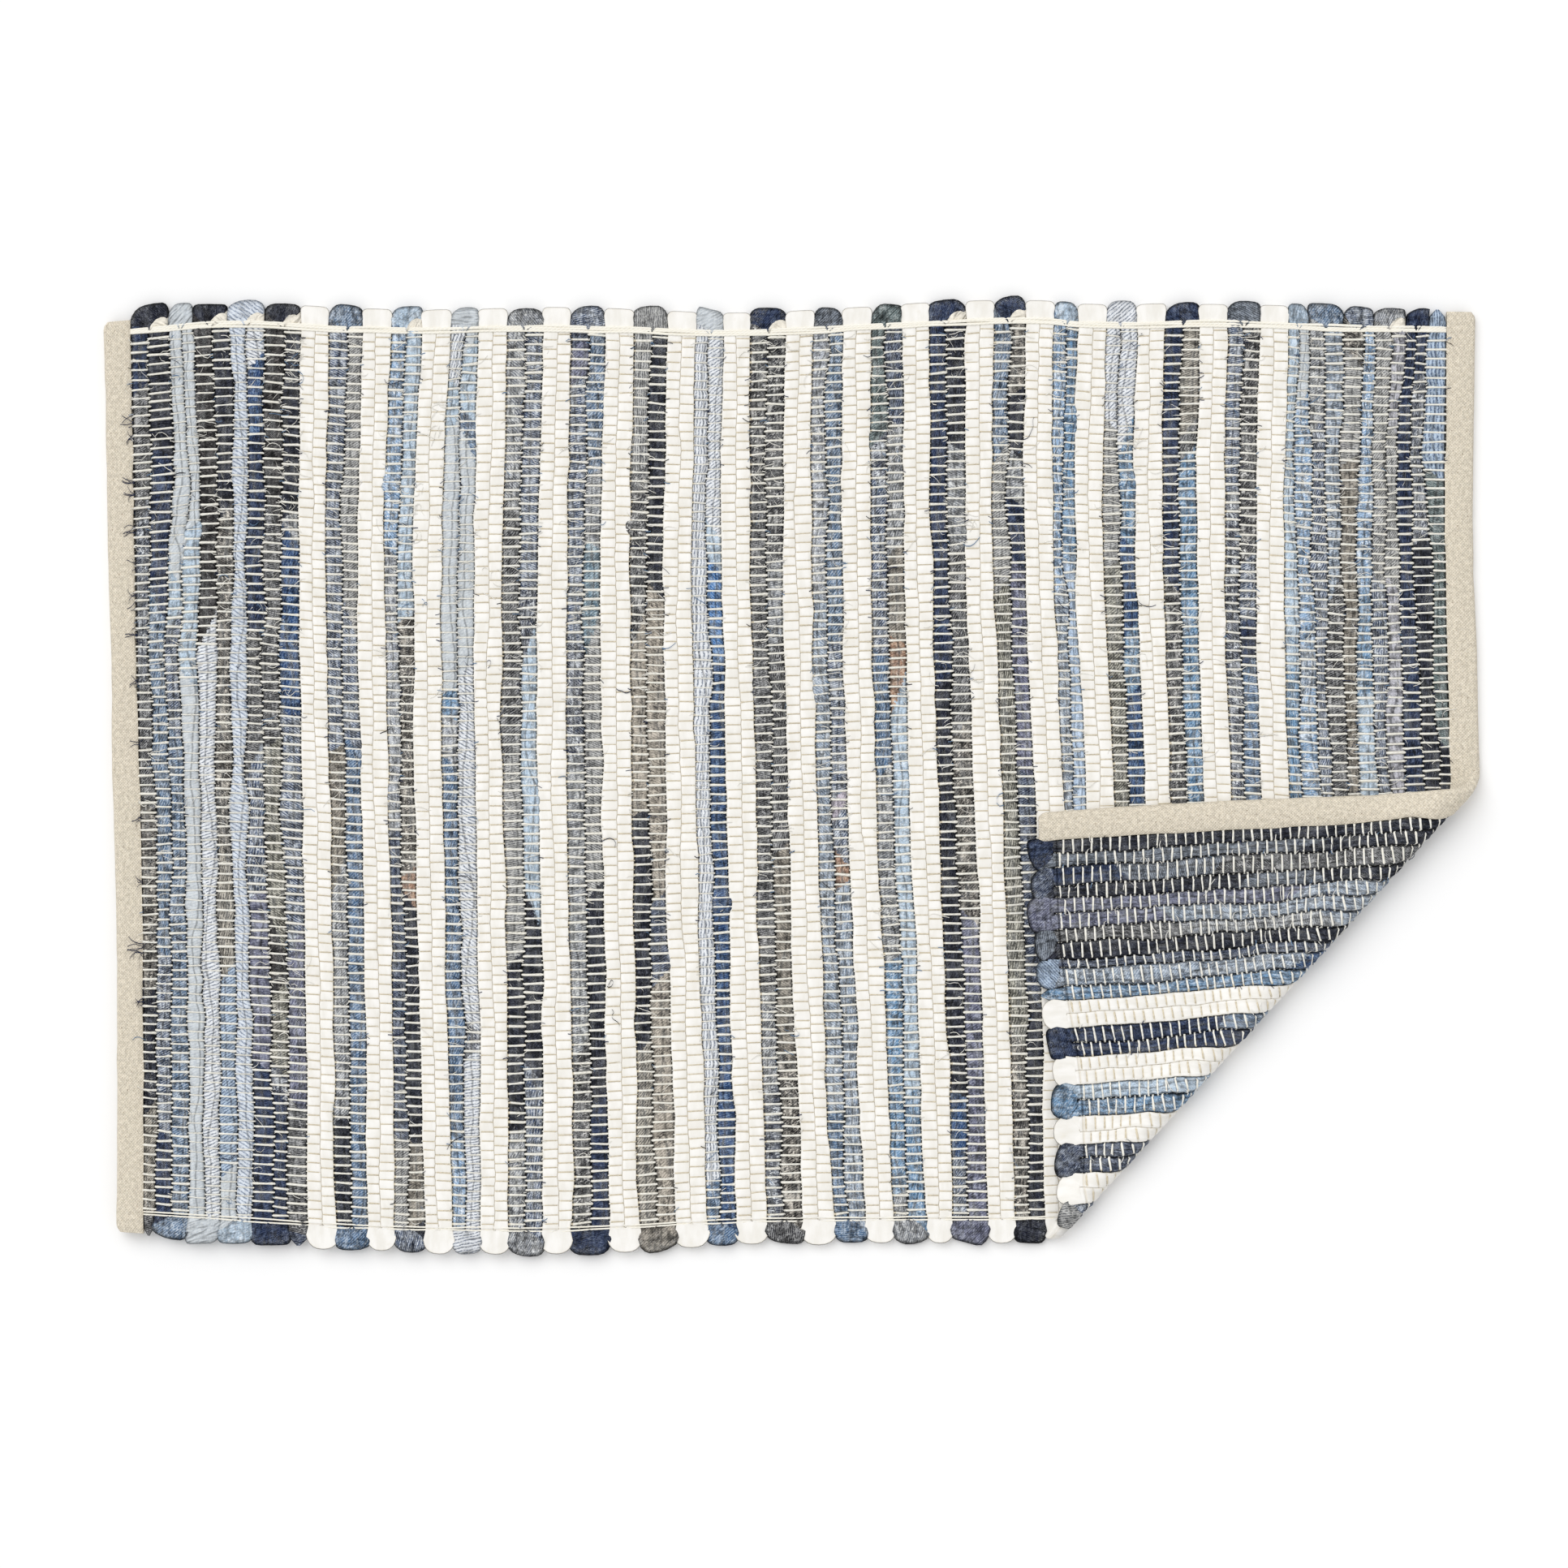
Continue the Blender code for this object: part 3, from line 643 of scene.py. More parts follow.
def crossing_rings(pick):
    """Rings of one pick from the near selvedge to the far one: (across, face dip, back dip) each."""
    crossings = WARP_ACROSS[:, pick]
    middle = (EDGES[pick] + EDGES[pick + 1]) / 2
    back = turned_over(np.full(WARPS, middle), crossings) > 0.5
    rings = []
    for warp, across in enumerate(crossings):
        over = is_over(warp, pick)
        if back[warp]:
            table = RINGS_OVER_BACK if over else RINGS_UNDER_BACK
        else:
            table = RINGS_OVER if over else RINGS_UNDER
        rings += [(across + share * WARP_GAP, face, behind) for share, face, behind in table]
    rings = np.array(rings)
    rings[:, 0] = np.maximum.accumulate(rings[:, 0])
    return rings


def notch(pick, across):
    """How far warps press into the rags that a pick shows at places across."""
    if is_white(pick):
        return np.full(len(across), NOTCH_WHITE)
    rows = rags_of(pick)
    depths = np.array([NOTCH_PALE if min(FABRICS[row[0]][0]) > PALE else NOTCH_DENIM for row in rows])
    which = np.searchsorted([row[2] for row in rows], 0.5 - across / PICK_SPAN)
    return depths[np.clip(which, 0, len(rows) - 1)]


def leg(pick, up, rng):
    """The strand's rings along one pick, in the order of travel.

    With each point's side on the cloth, and how much of a hollow under a warp it is in.
    """
    across, face_dip, back_dip = crossing_rings(pick).T
    count = len(across)
    white = is_white(pick)
    left, right = groove(pick, across), groove(pick + 1, across)
    crest = CREST + wander(rng, count, 17, CREST_STRAY[white])
    for lump, down, to_left, to_right, higher, reach in LUMPS:
        if lump == pick:
            swell = np.exp(-((across - (0.5 - down / 100) * PICK_SPAN) / (reach * MM)) ** 4) * MM
            left, right, crest = left - to_left * swell, right + to_right * swell, crest + higher * swell
    middle, half = (left + right) / 2, (right - left) / 2 + TOUCH
    top = crest - notch(pick, across) * face_dip
    bottom = BACK_CREST - NOTCH_BACK * back_dip
    face, back = (np.array(sections[white], float) for sections in (FACE_SECTION, BACK_SECTION))
    section = face + (back - face) * turned_over(middle, across)[:, None, None]
    side = section[:, :, 0] * (1 if up else -1)
    share = section[:, :, 1]
    crumple = CRUMPLE[white]
    folds = np.array([wander(rng, count, 4, crumple) + wander(rng, count, 2, crumple / 2)
                      for _ in range(SIDES)]).T
    height = share * np.where(share > 0, top[:, None], bottom[:, None]) + folds * np.abs(share)
    along = middle[:, None] + side * (half[:, None] + folds * (1 - np.abs(share)))
    points = np.stack((along, np.repeat(across[:, None], SIDES, axis=1), height), axis=2)
    hollow = np.where(share > 0, face_dip[:, None], back_dip[:, None])
    order = slice(None) if up else slice(None, None, -1)
    return points[order], side[order], hollow[order]


def loop_outline(middle, wide, far, white, rng):
    """The outline of a turning loop as (along, across) points, and their angles."""
    sign = 1 if far else -1
    white_square, shorter = WHITE_LOOPS[far]
    square = white_square if white else rng.uniform(*DENIM_LOOP_SQUARE)
    reach = CAP_REACH - (shorter if white else 0.0) + rng.normal(0, LOOP_REACH_STRAY[white])
    angles = math.pi * np.arange(1, LOOP_STEPS) / LOOP_STEPS
    cosine, sine = np.cos(angles), np.sin(angles)
    spread = LOOP_SPREAD[white] if far else NEAR_LOOP_SPREAD
    along = middle + wide * np.sign(cosine) * np.abs(cosine) ** (2 / square) * spread
    along = along + rng.normal(0, LOOP_LEAN[white]) * sine ** 2
    across = sign * (SPAN_END + reach * np.abs(sine) ** (2 / square)
                     + wander(rng, LOOP_STEPS - 1, 3, LOOP_WAVE[white]))
    return np.stack((along, across), axis=1), angles


def turn(start, end, start_side, far, white, rng):
    """The rings of a turning loop, between the last ring of one pick and the first one of the next."""
    goes_right = end[:, 0].mean() > start[:, 0].mean()
    inward = (1 + start_side) / 2 if goes_right else (1 - start_side) / 2
    outer_from = start[:, 0].min() if goes_right else start[:, 0].max()
    outer_to = end[:, 0].max() if goes_right else end[:, 0].min()
    middle = (outer_from + outer_to) / 2
    outline, angles = loop_outline(middle, (outer_from - outer_to) / 2, far, white, rng)
    pinch = np.array((middle, (1 if far else -1) * (SPAN_END + LOOP_PINCH)))
    outer = outline[:, None, :]
    flat = outer + (pinch - outer) * inward[None, :, None] * LOOP_PINCHED
    share = (np.arange(1, LOOP_STEPS) / LOOP_STEPS)[:, None]
    level = start[:, 2] * (1 - share) + end[:, 2] * share
    puff = 1 + LOOP_PUFF[white] * np.sin(3 * angles + rng.uniform(0, 2 * math.pi))[:, None]
    # Points in the middle of the strand's height stay there. The others puff up
    crest = np.where(np.abs(level) > 2 * MM, CREST * (WHITE_LOOP_CREST if white else puff), np.abs(level))
    level = np.sign(level) * np.minimum(crest, np.where(level < 0, BACK_CREST, LOOP_HIGHEST))
    # The corners that faced the next pick turn out and over, to the side that shows
    facing = np.where((np.abs(start_side) > 0.9) & (inward > 0.9), 1.0, 0.0)
    shown = 1 if start[[2, 3], 2].mean() > 0 and abs(start_side[2]) < 0.52 else -1
    level = level + facing[None, :] * (shown * CREST * LOOP_FACE - level) * np.sin(angles)[:, None] ** 0.3
    return np.concatenate((flat, level[:, :, None]), axis=2)


def tip(ring, far):
    """Rings that close a strand's end in a low dome beyond the selvedge, from the ring outwards."""
    middle = ring.mean(axis=0)
    rings = []
    for share in TIP_SHARES:
        size = max(1 - share ** 3, 0.15)
        new = middle + (ring - middle) * np.array((min(size * 1.1, 1.0), 0, max(size, 0.35)))
        new[:, 1] = (1 if far else -1) * (SPAN_END + TIP_REACH * share)
        rings.append(new)
    return np.array(rings)


def leg_runs(pick, up, begins, ends, rng):
    """The runs of rag along one pick, in the order of travel."""
    rows = rags_of(pick)[::-1 if up else 1]
    runs = []
    for k, (rag, above, down, _change) in enumerate(rows):
        change = rows[k if up else k - 1][3] if k else ""
        side = {">": 1, "<": -1}.get(change) or rng.choice((-1, 1))
        taper = SLOW_TAPER if change else rng.uniform(*TAPER)
        share = 1 - down if up else above
        across = begins + share * (ends - begins)
        runs.append((rag, across, taper if k else LOOP_TAPER, side * (-1 if up else 1)))
    return runs


def strand(picks, closed, far_loops, near_loops, rng):
    """A strand of rag along the picks with its turns: rings, sides on the cloth, hollows and runs of rag.

    A run is (rag, path length where it starts, half-length of the change into it, side it comes from).
    """
    legs = [leg(pick, i % 2 == 0, rng) for i, pick in enumerate(picks)]
    parts, sides, painted_shade, zones = [], [], [], []

    def add(points, side, zone, hollow=IN_LOOP):
        parts.append(points)
        sides.append(np.broadcast_to(side, points.shape[:2]))
        painted_shade.append(np.broadcast_to(hollow, points.shape[:2]))
        zones.append((zone, len(points)))

    if not closed:
        add(tip(legs[0][0][0], False)[::-1], legs[0][1][0], near_loops[0])
    for i, (points, side, hollow) in enumerate(legs):
        up = i % 2 == 0
        add(points, side, (picks[i], up), hollow)
        if i + 1 == len(legs) and not closed:
            add(tip(points[-1], up), side[-1], (far_loops if up else near_loops)[-1])
        else:
            following = legs[(i + 1) % len(legs)][0][0]
            name = far_loops[i // 2] if up else near_loops[0 if closed else (i + 1) // 2]
            add(turn(points[-1], following, side[-1], up, is_white(picks[0]), rng), side[-1], name)
    rings = np.concatenate(parts)
    middles = rings[:, [1, 4]].mean(axis=1)
    path = summed(np.linalg.norm(np.diff(middles, axis=0, append=middles[:1]), axis=1))

    runs, first = [], 0
    for zone, count in zones:
        begins, ends = path[first], path[min(first + count, len(rings) - 1)]
        if isinstance(zone, str):
            runs.append((zone.rstrip("+"), begins, LOOP_TAPER, rng.choice((-1, 1))))
            if zone.endswith("+"):
                runs.append(("cotton", ends - COTTON_LENGTH, COTTON_TAPER, 1))
        else:
            runs += leg_runs(*zone, begins, ends, rng)
        first += count
    return rings, np.concatenate(sides), np.concatenate(painted_shade), path, runs


def changes_of(runs, closed, length):
    """The changes of rag along a path: (from, to, place, half-length, side), with like neighbours joined."""
    round_end = [(runs[-1][0], runs[0][0], place, LOOP_TAPER, 1) for place in (0.0, length) if closed]
    rows = round_end[:1] + [(before[0], *after) for before, after in zip(runs, runs[1:])] + round_end[1:]
    rows = [row for row in rows if row[0] != row[1]]
    return rows or [(runs[0][0], runs[0][0], 0.0, LOOP_TAPER, 1)]


# ---------------------------------------------------------------- meshes

def new_mesh(name, points, quads, ends=()):
    """A smooth mesh from numpy arrays of points and quads, with a face over each open end."""
    mesh = bpy.data.meshes.new(name)
    corners = np.concatenate([quads.ravel()] + [np.asarray(end) for end in ends]).astype(np.int32)
    totals = np.array([4] * len(quads) + [len(end) for end in ends], np.int32)
    mesh.vertices.add(len(points))
    mesh.vertices.foreach_set("co", np.asarray(points, np.float32).ravel())
    mesh.loops.add(len(corners))
    mesh.loops.foreach_set("vertex_index", corners)
    mesh.polygons.add(len(totals))
    mesh.polygons.foreach_set("loop_start", np.concatenate(([0], np.cumsum(totals)[:-1])).astype(np.int32))
    mesh.polygons.foreach_set("loop_total", totals)
    mesh.polygons.foreach_set("use_smooth", np.ones(len(totals), bool))
    mesh.update(calc_edges=True)
    mesh.validate()
    mesh.normals_split_custom_set_from_vertices(broad_normals(np.asarray(points, float), quads))
    return mesh


def broad_normals(points, quads):
    """Normals that lean to the larger faces, so that puffs of rag look flat between narrow notches."""
    a, b, c, d = (points[quads[:, k]] for k in range(4))
    square = np.cross(c - a, d - b)
    square *= np.linalg.norm(square, axis=1)[:, None] ** NORMAL_BIAS
    normals = np.zeros_like(points)
    for k in range(4):
        for axis in range(3):
            normals[:, axis] += np.bincount(quads[:, k], square[:, axis], len(points))
    return normals / np.maximum(np.linalg.norm(normals, axis=1), 1e-20)[:, None]


def tube_quads(rings, sides, closed=False):
    """Quads that join each ring of a tube to the next."""
    i = np.arange(rings if closed else rings - 1)[:, None]
    j = (i + 1) % rings
    k = np.arange(sides)[None, :]
    n = (k + 1) % sides
    return np.stack((i * sides + k, i * sides + n, j * sides + n, j * sides + k), axis=2).reshape(-1, 4)


def end_caps(rings, sides, first=0):
    """The faces over both ends of a tube whose points start at first."""
    last = first + (rings - 1) * sides
    return [list(range(first + sides - 1, first - 1, -1)), list(range(last, last + sides))]


def add_attribute(mesh, name, kind, domain, values):
    """Store numbers on faces or corners. Faces past the end of the values are end caps and get the last."""
    values = np.asarray(values, np.float32)
    values = values.reshape(-1, values.shape[-1])
    missing = len(mesh.polygons if domain == "FACE" else mesh.loops) - len(values)
    values = np.concatenate((values, np.repeat(values[-1:], missing, axis=0)))
    attribute = mesh.attributes.new(name, kind, domain)
    field = {"FLOAT_COLOR": "color", "FLOAT_VECTOR": "vector", "FLOAT": "value"}[kind]
    attribute.data.foreach_set(field, values.ravel())


def quad_corners(left, right, low, high):
    """Flat places of the four corners of each quad."""
    corners = ((left, low), (right, low), (right, high), (left, high))
    return np.stack([np.stack(corner, 2) for corner in corners], axis=2)


def unrolled(path, total, round_it):
    """A flat map of a stretch of tube, cut into columns that fill a square: a UV for each corner."""
    sides, perimeter = len(round_it) - 1, round_it[-1]
    gap = 1.5 * MM
    tall = math.sqrt(total * (perimeter + gap))
    square = max(math.ceil(total / tall) * (perimeter + gap), tall + 4 * gap)
    column = np.floor((path[:-1] + path[1:]) / 2 / tall)
    u = (column[:, None] * (perimeter + gap) + round_it[None, :]) / square
    low, high = (np.repeat(((at - column * tall + 2 * gap) / square)[:, None], sides, axis=1)
                 for at in (path[:-1], path[1:]))
    return quad_corners(u[:, :-1], u[:, 1:], low, high)


def on_cloth(path, round_it):
    """Each corner's place round a tube and along it, in mm."""
    left, right = (np.repeat(at[None, :], len(path) - 1, axis=0) for at in (round_it[:-1], round_it[1:]))
    low, high = (np.repeat(at[:, None], len(round_it) - 1, axis=1) for at in (path[:-1], path[1:]))
    return quad_corners(left, right, low, high) / MM


def add_bake_map(mesh, uv):
    """A UV map named OFBake, laid out for baking the material into."""
    flat = np.zeros((len(mesh.loops), 2), np.float32)
    values = uv.reshape(-1, 2)
    flat[:len(values)] = values
    mesh.uv_layers.new(name="OFBake").data.foreach_set("uv", flat.ravel())


def map_tubes(mesh, paths, total, round_it):
    """The bake map of tubes that follow each other, and their corners' places round and along them."""
    add_bake_map(mesh, np.concatenate([unrolled(path, total, round_it) for path in paths]))
    places = np.concatenate([on_cloth(path, round_it).reshape(-1, 2) for path in paths])
    add_attribute(mesh, "cloth", "FLOAT_VECTOR", "CORNER", np.column_stack((places, np.zeros(len(places)))))


def add_object(name, mesh, material, node):
    """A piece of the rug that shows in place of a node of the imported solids."""
    mesh.materials.append(material)
    piece = bpy.data.objects.new(name, mesh)
    bpy.context.scene.collection.objects.link(piece)
    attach(piece, "root")
    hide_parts(node)
    return piece


def corners_of(low, high, sides):
    """Values of each ring's points, for the four corners of each quad between the rings low and high."""
    k = np.arange(sides)
    n = (k + 1) % sides
    return np.stack((low[:, k], low[:, n], high[:, n], high[:, k]), axis=2)


SECTION_ROUND = length_round(np.array(FACE_SECTION[0], float) * ((WHITE_WIDTH / 4, CREST),))


def paint_rags(mesh, changes, path, place_along, hollow, rng):
    """Store which rags each face is between, where the one ends and the other starts, and their looks."""
    stations, tapers, from_side = (np.array([float(change[k]) for change in changes]) for k in (2, 3, 4))
    nearest = np.searchsorted((stations[1:] + stations[:-1]) / 2, (path[:-1] + path[1:]) / 2)
    edge = (stations[nearest][:, None, None] - place_along * MM) / tapers[nearest][:, None, None]
    comes = np.broadcast_to(from_side[nearest][:, None, None], edge.shape)
    add_attribute(mesh, "change", "FLOAT_VECTOR", "CORNER", np.stack((edge, comes, hollow), axis=3))
    angles = [rng.choice(TWILL_ANGLES) + rng.normal(0, TWILL_TURN) for _ in changes]
    for letter, end, turned in (("a", 0, angles), ("b", 1, angles[1:] + angles[:1])):
        rows = [FABRICS[change[end]] for change in changes]
        for attribute, kind, values in (
                ("ground_", "FLOAT_COLOR", [linear(row[0]) for row in rows]),
                ("line_", "FLOAT_COLOR", [linear(row[1])[:3] + (row[4],) for row in rows]),
                ("weave_", "FLOAT_VECTOR", [(row[2], row[3], angle) for row, angle in zip(rows, turned)])):
            add_attribute(mesh, attribute + letter, kind, "FACE",
                          np.repeat(np.array(values)[nearest], SIDES, axis=0))


def rag_piece(name, picks, closed, far_loops, near_loops, material):
    """One strand of rag as a piece, with its rags painted on as attributes."""
    rng = np.random.RandomState(SEED + picks[0])
    rings, sides, painted_shade, path, runs = strand(picks, closed, far_loops, near_loops, rng)
    count = len(rings)
    mesh = new_mesh(name, lay(rings.reshape(-1, 3)), tube_quads(count, SIDES, closed),
                    [] if closed else end_caps(count, SIDES))
    path = path if closed else path[:count]
    add_bake_map(mesh, unrolled(path, path[-1], SECTION_ROUND))
    places = on_cloth(path, SECTION_ROUND)
    low = np.arange(len(path) - 1)
    side, hollow, along, across = (corners_of(values[low], values[(low + 1) % count], SIDES)
                                   for values in (sides, painted_shade, rings[:, :, 0], rings[:, :, 1]))
    in_loop = hollow.min(axis=(1, 2)) == IN_LOOP
    woven = np.where(in_loop[:, None, None, None], np.stack((along, across), axis=3) / MM,
                     places + (0, PATTERN_APART * picks[0]))
    hollow = np.where(in_loop[:, None, None], IN_LOOP, hollow)
    add_attribute(mesh, "cloth", "FLOAT_VECTOR", "CORNER", np.concatenate((woven, side[..., None]), axis=3))
    paint_rags(mesh, changes_of(runs, closed, path[-1]), path, places[..., 1], hollow, rng)
    piece = add_object(name, mesh, material, "woven_field")
    cut_width = CROWDING * (EDGES[picks[-1] + 1] - EDGES[picks[0]])


# ---------------------------------------------------------------- warps

BACK_SHOWS = np.array([turned_over(np.full(WARPS, (left + right) / 2), WARP_ACROSS[:, pick]) > 0.5
                       for pick, (left, right) in enumerate(zip(EDGES, EDGES[1:]))])


def warp_rings(warp):
    """One warp's rings: the middle, the radius and whether it is on white cotton."""
    rows = [(-BINDING_EDGE - TONGUE, WARP_ACROSS[warp, 0], 0.0, WARP_DENIM, 0.0)]
    for pick in range(PICKS):
        across = WARP_ACROSS[warp, pick]
        left, right = edges_at(pick, across)
        white, over, back = is_white(pick), is_over(warp, pick), BACK_SHOWS[pick, warp]
        pressed = float(notch(pick, np.array([across]))[0])
        on_rag = WARP_PALE if pressed == NOTCH_PALE else WARP_DENIM
        radius = WARP_WHITE if white else WARP_ON_BACK if back else on_rag
        if over:
            level = CREST - pressed + WARP_RISE[white] * radius
        else:
            level = NOTCH_BACK - BACK_CREST - WARP_RISE_BACK * radius
            level += WARP_SUNK_BACK if white and back else 0
        shoulder = WARP_SHOULDER_BACK if back else WARP_SHOULDER
        middle, out = (left + right) / 2, (right - left) / 2 * shoulder
        ends = (middle - out, middle + out) if over != back else (middle,)
        rows += [(end, across, level, radius, float(white)) for end in ends]
    rows.append((BINDING_EDGE + TONGUE, WARP_ACROSS[warp, -1], 0.0, WARP_DENIM, 0.0))
    return np.array(rows)


def warp_piece(name, warps, material):
    """Many warps as one piece."""
    rng = np.random.RandomState(SEED + warps[0])
    round_it = np.linspace(0, 2 * math.pi * WARP_DENIM, WARP_SIDES + 1)
    lines, radii, tans_and_shades = [], [], []
    for warp in warps:
        rows = warp_rings(warp)
        lines.append(rows[:, :3] + rng.normal(0, 1, (len(rows), 3)) * WARP_JITTER)
        radii.append(rows[:, 3] * WARP_PLUMP * rng.uniform(*WARP_UNEVEN, len(rows)))
        # On white cotton a warp gets the darker cord colour as painted shade, for the shadow of the puffs
        # beside it
        tans_and_shades.append(rows[:-1, 4])
    cord_piece(name, lines, radii, WARP_SIDES, round_it, material, tans_and_shades)


def bundle_line(warp, offset, rng):
    """The middle of one cord of a bundle."""
    level = BUNDLE_LEVEL if is_over(warp, 0) else BACK_BUNDLE_LEVEL
    near = warp < 2
    rows = [(-BINDING_EDGE - TONGUE, WARP_ACROSS[warp, 0] + offset, 0.0)]
    for pick in range(PICKS):
        across = WARP_ACROSS[warp, pick] + offset
        left, right = edges_at(pick, across)
        sunk = NEAR_BUNDLE_SUNK if near and is_white(pick) else 0.0
        dip = BUNDLE_DIP[is_white(pick) or is_white(pick - 1)]
        rows += [(left, across, level - math.copysign(dip + sunk, level)),
                 ((left + right) / 2, across, level - math.copysign(sunk, level))]
    rows.append((BINDING_EDGE + TONGUE, WARP_ACROSS[warp, -1] + offset, 0.0))
    rows = np.array(rows)
    rows[:, 1] += wander(rng, len(rows), 5, 0.3 * MM)
    return rows


def bundle_piece(name, material):
    """The bundles of cords at both selvedges, on the face and on the back."""
    rng = np.random.RandomState(SEED + 300)
    round_it = np.linspace(0, 2 * math.pi * BUNDLE_CORD, BUNDLE_SIDES + 1)
    lines, radii = [], []
    for warp in (0, 1, WARPS - 2, WARPS - 1):
        near = warp < 2
        cord = NEAR_BUNDLE_CORD if near else BUNDLE_CORD if is_over(warp, 0) else BACK_BUNDLE_CORD
        for offset in (NEAR_BUNDLE_CORDS if near else BUNDLE_CORDS):
            lines.append(bundle_line(warp, offset, rng))
            radii.append(np.full(len(lines[-1]), cord))
    cord_piece(name, lines, radii, BUNDLE_SIDES, round_it, material, [BUNDLE_TAN] * len(lines))


def cord_piece(name, lines, radii, sides, round_it, material, tans_and_shades=()):
    """Round cords that run along the cloth, as one piece. A line holds the middles of a cord's rings."""
    turns = math.pi / 2 + 2 * math.pi * np.arange(sides) / sides
    around = np.stack((np.zeros(sides), np.cos(turns), np.sin(turns)), axis=1)
    points, quads, ends, paths, first, begins = [], [], [], [], 0, 0.0
    for line, radius in zip(lines, radii):
        points.append((line[:, None, :] + around[None] * radius[:, None, None]).reshape(-1, 3))
        quads.append(tube_quads(len(line), sides) + first)
        ends += end_caps(len(line), sides, first)
        first += len(line) * sides
        paths.append(begins + summed(np.linalg.norm(np.diff(line, axis=0), axis=1)))
        begins = paths[-1][-1] + 2 * MM
    mesh = new_mesh(name, lay(np.concatenate(points)), np.concatenate(quads), ends)
    map_tubes(mesh, paths, begins, round_it)
    # A share of the darker cord colour: the bundles' own tan, and painted shade on warps in white cotton
    if tans_and_shades:
        shares = [np.repeat(np.broadcast_to(tan_and_shade, len(line) - 1), sides) for line, tan_and_shade in zip(lines, tans_and_shades)]
        add_attribute(mesh, "tan_and_shade", "FLOAT", "FACE", np.concatenate(shares)[:, None])
    add_object(name, mesh, material, "woven_field")


# ---------------------------------------------------------------- loose threads

def thread_line(along, across, heading, length, steps, rng):
    """A loose thread on the cloth, over whichever side of it shows."""
    turns = heading + np.cumsum(wander(rng, steps, 2, 0.45)) + rng.normal(0, 0.25) * np.arange(steps)
    along = along + summed(np.cos(turns) * (length / steps))
    across = across + summed(np.sin(turns) * (length / steps))
    share = np.linspace(0, 1, steps + 1)
    rise = OVER_CREST + rng.uniform(0.1, 1.0) * MM * np.sin(math.pi * share) ** 2
    rise = rise + OVER_BINDING * (np.abs(along) > BINDING_EDGE - 1 * MM)
    shown = np.where(turned_over(along, across) > 0.5, -1.0, 1.0)
    return np.column_stack((along, across, shown * (CREST + rise)))


def pick_threads(pick, groups, rng):
    """Threads along a denim pick, more of them for worn rags.

    A rag's threads lie anywhere from the far selvedge to its end, and so most are near that selvedge.
    """
    for rag, _above, down, _change in rags_of(pick):
        fray = FABRICS[rag][3]
        long_ones = rng.poisson(down * THREADS_A_PICK * fray)
        short_ones = rng.poisson(down * FRAYS_A_PICK * (0.3 + fray))
        for k in range(long_ones + short_ones):
            place = min(max(rng.uniform(0, down), PLACES_FRAYED[0]), PLACES_FRAYED[1])
            across = (0.5 - place) * PICK_SPAN
            left, right = edges_at(pick, across)
            name = rng.choice(sorted(THREADS), p=THREAD_SHARES)
            if k < long_ones:
                name = name if rng.rand() < COLOURED_THREADS else "white"
                start = rng.uniform(left, right)
                line = thread_line(start, across, rng.uniform(0, 2 * math.pi),
                                   rng.uniform(*THREAD_LENGTH) * MM, 5, rng)
            else:
                to_right = rng.rand() < 0.5
                start = right - FRAY_INSET if to_right else left + FRAY_INSET
                heading = rng.normal(0, 0.7) + (0 if to_right else math.pi)
                line = thread_line(start, across, heading, rng.uniform(*FRAY_LENGTH) * MM, 2, rng)
            groups[name].append(line)


def loose_threads():
    """All loose threads, as one piece for each colour."""
    rng = np.random.RandomState(SEED + 400)
    groups = {name: [] for name in THREADS}
    for pick in range(PICKS):
        if not is_white(pick):
            pick_threads(pick, groups, rng)
    for y, length in BINDING_FRAYS:
        for _ in range(THREADS_A_FRAY):
            start, across = 0.6 * MM - BINDING_EDGE, (y + rng.normal(0, 1.5)) * MM
            groups["navy"].append(thread_line(start, across, rng.normal(math.pi, 0.35), length * MM, 4, rng))
    for x, y, half in TANGLES:
        for _ in range(THREADS_A_TANGLE):
            start, across = x * MM + rng.normal(0, TANGLE_WIDTH), y * MM + rng.uniform(-half, half) * MM
            heading, length = rng.uniform(0, 2 * math.pi), rng.uniform(*TANGLED_LENGTH) * MM
            groups["white"].append(thread_line(start, across, heading, length, 4, rng))
    for name, spots in THREAD_CHART.items():
        for x, y, heading, length in spots:
            groups[name].append(thread_line(x * MM, y * MM, math.radians(heading), length * MM, 12, rng))
    for name, lines in groups.items():
        radii = [np.full(len(line), rng.uniform(*THREAD_RADIUS) * MM) for line in lines]
        cord_piece("threads_" + name, lines, radii, 3, np.linspace(0, 1 * MM, 4),
                   plain_material("thread_" + name, linear(THREADS[name]), 0.1))


# ---------------------------------------------------------------- bindings

def dome(share, tall):
    """How far the tape bulges at a share of its width."""
    return tall * math.sin(math.pi * min(share * 0.9 + 0.1, 1.0)) ** 0.7 if share < 1 else 0.1 * MM


def binding_section(stray):
    """Points round the folded tape at one place: (along, height, whether it is on the outside)."""
    start, wide = BINDING_EDGE + stray, BINDING_WIDTH - 2 * MM
    top = [(start, HALF - 1.0 * MM, 0), (start + 0.3 * MM, HALF - 0.1 * MM, 1)]
    top += [(BINDING_EDGE + share * wide, HALF + dome(share, BINDING_BULGE), 1) for share in BINDING_SHARES]
    outside = [(CLOTH_END - 0.8 * MM, HALF - 0.9 * MM, 0), (CLOTH_END, 0.0, 0),
               (CLOTH_END - 0.8 * MM, 0.9 * MM - HALF, 0)]
    under = [(BINDING_EDGE + share * wide, -HALF - dome(share, BINDING_BULGE_UNDER), -1)
             for share in BINDING_SHARES[::-1]]
    under += [(start + 0.3 * MM, 0.1 * MM - HALF, -1), (start, 1.0 * MM - HALF, 0)]
    slot, slot_start, slot_end = HALF - CANVAS, BINDING_EDGE + 2 * MM, CLOTH_END - 2 * CANVAS
    inside = [(slot_start, -slot, 0), (slot_end, -slot, 0), (slot_end, slot, 0), (slot_start, slot, 0)]
    return np.array(top + outside + under + inside)


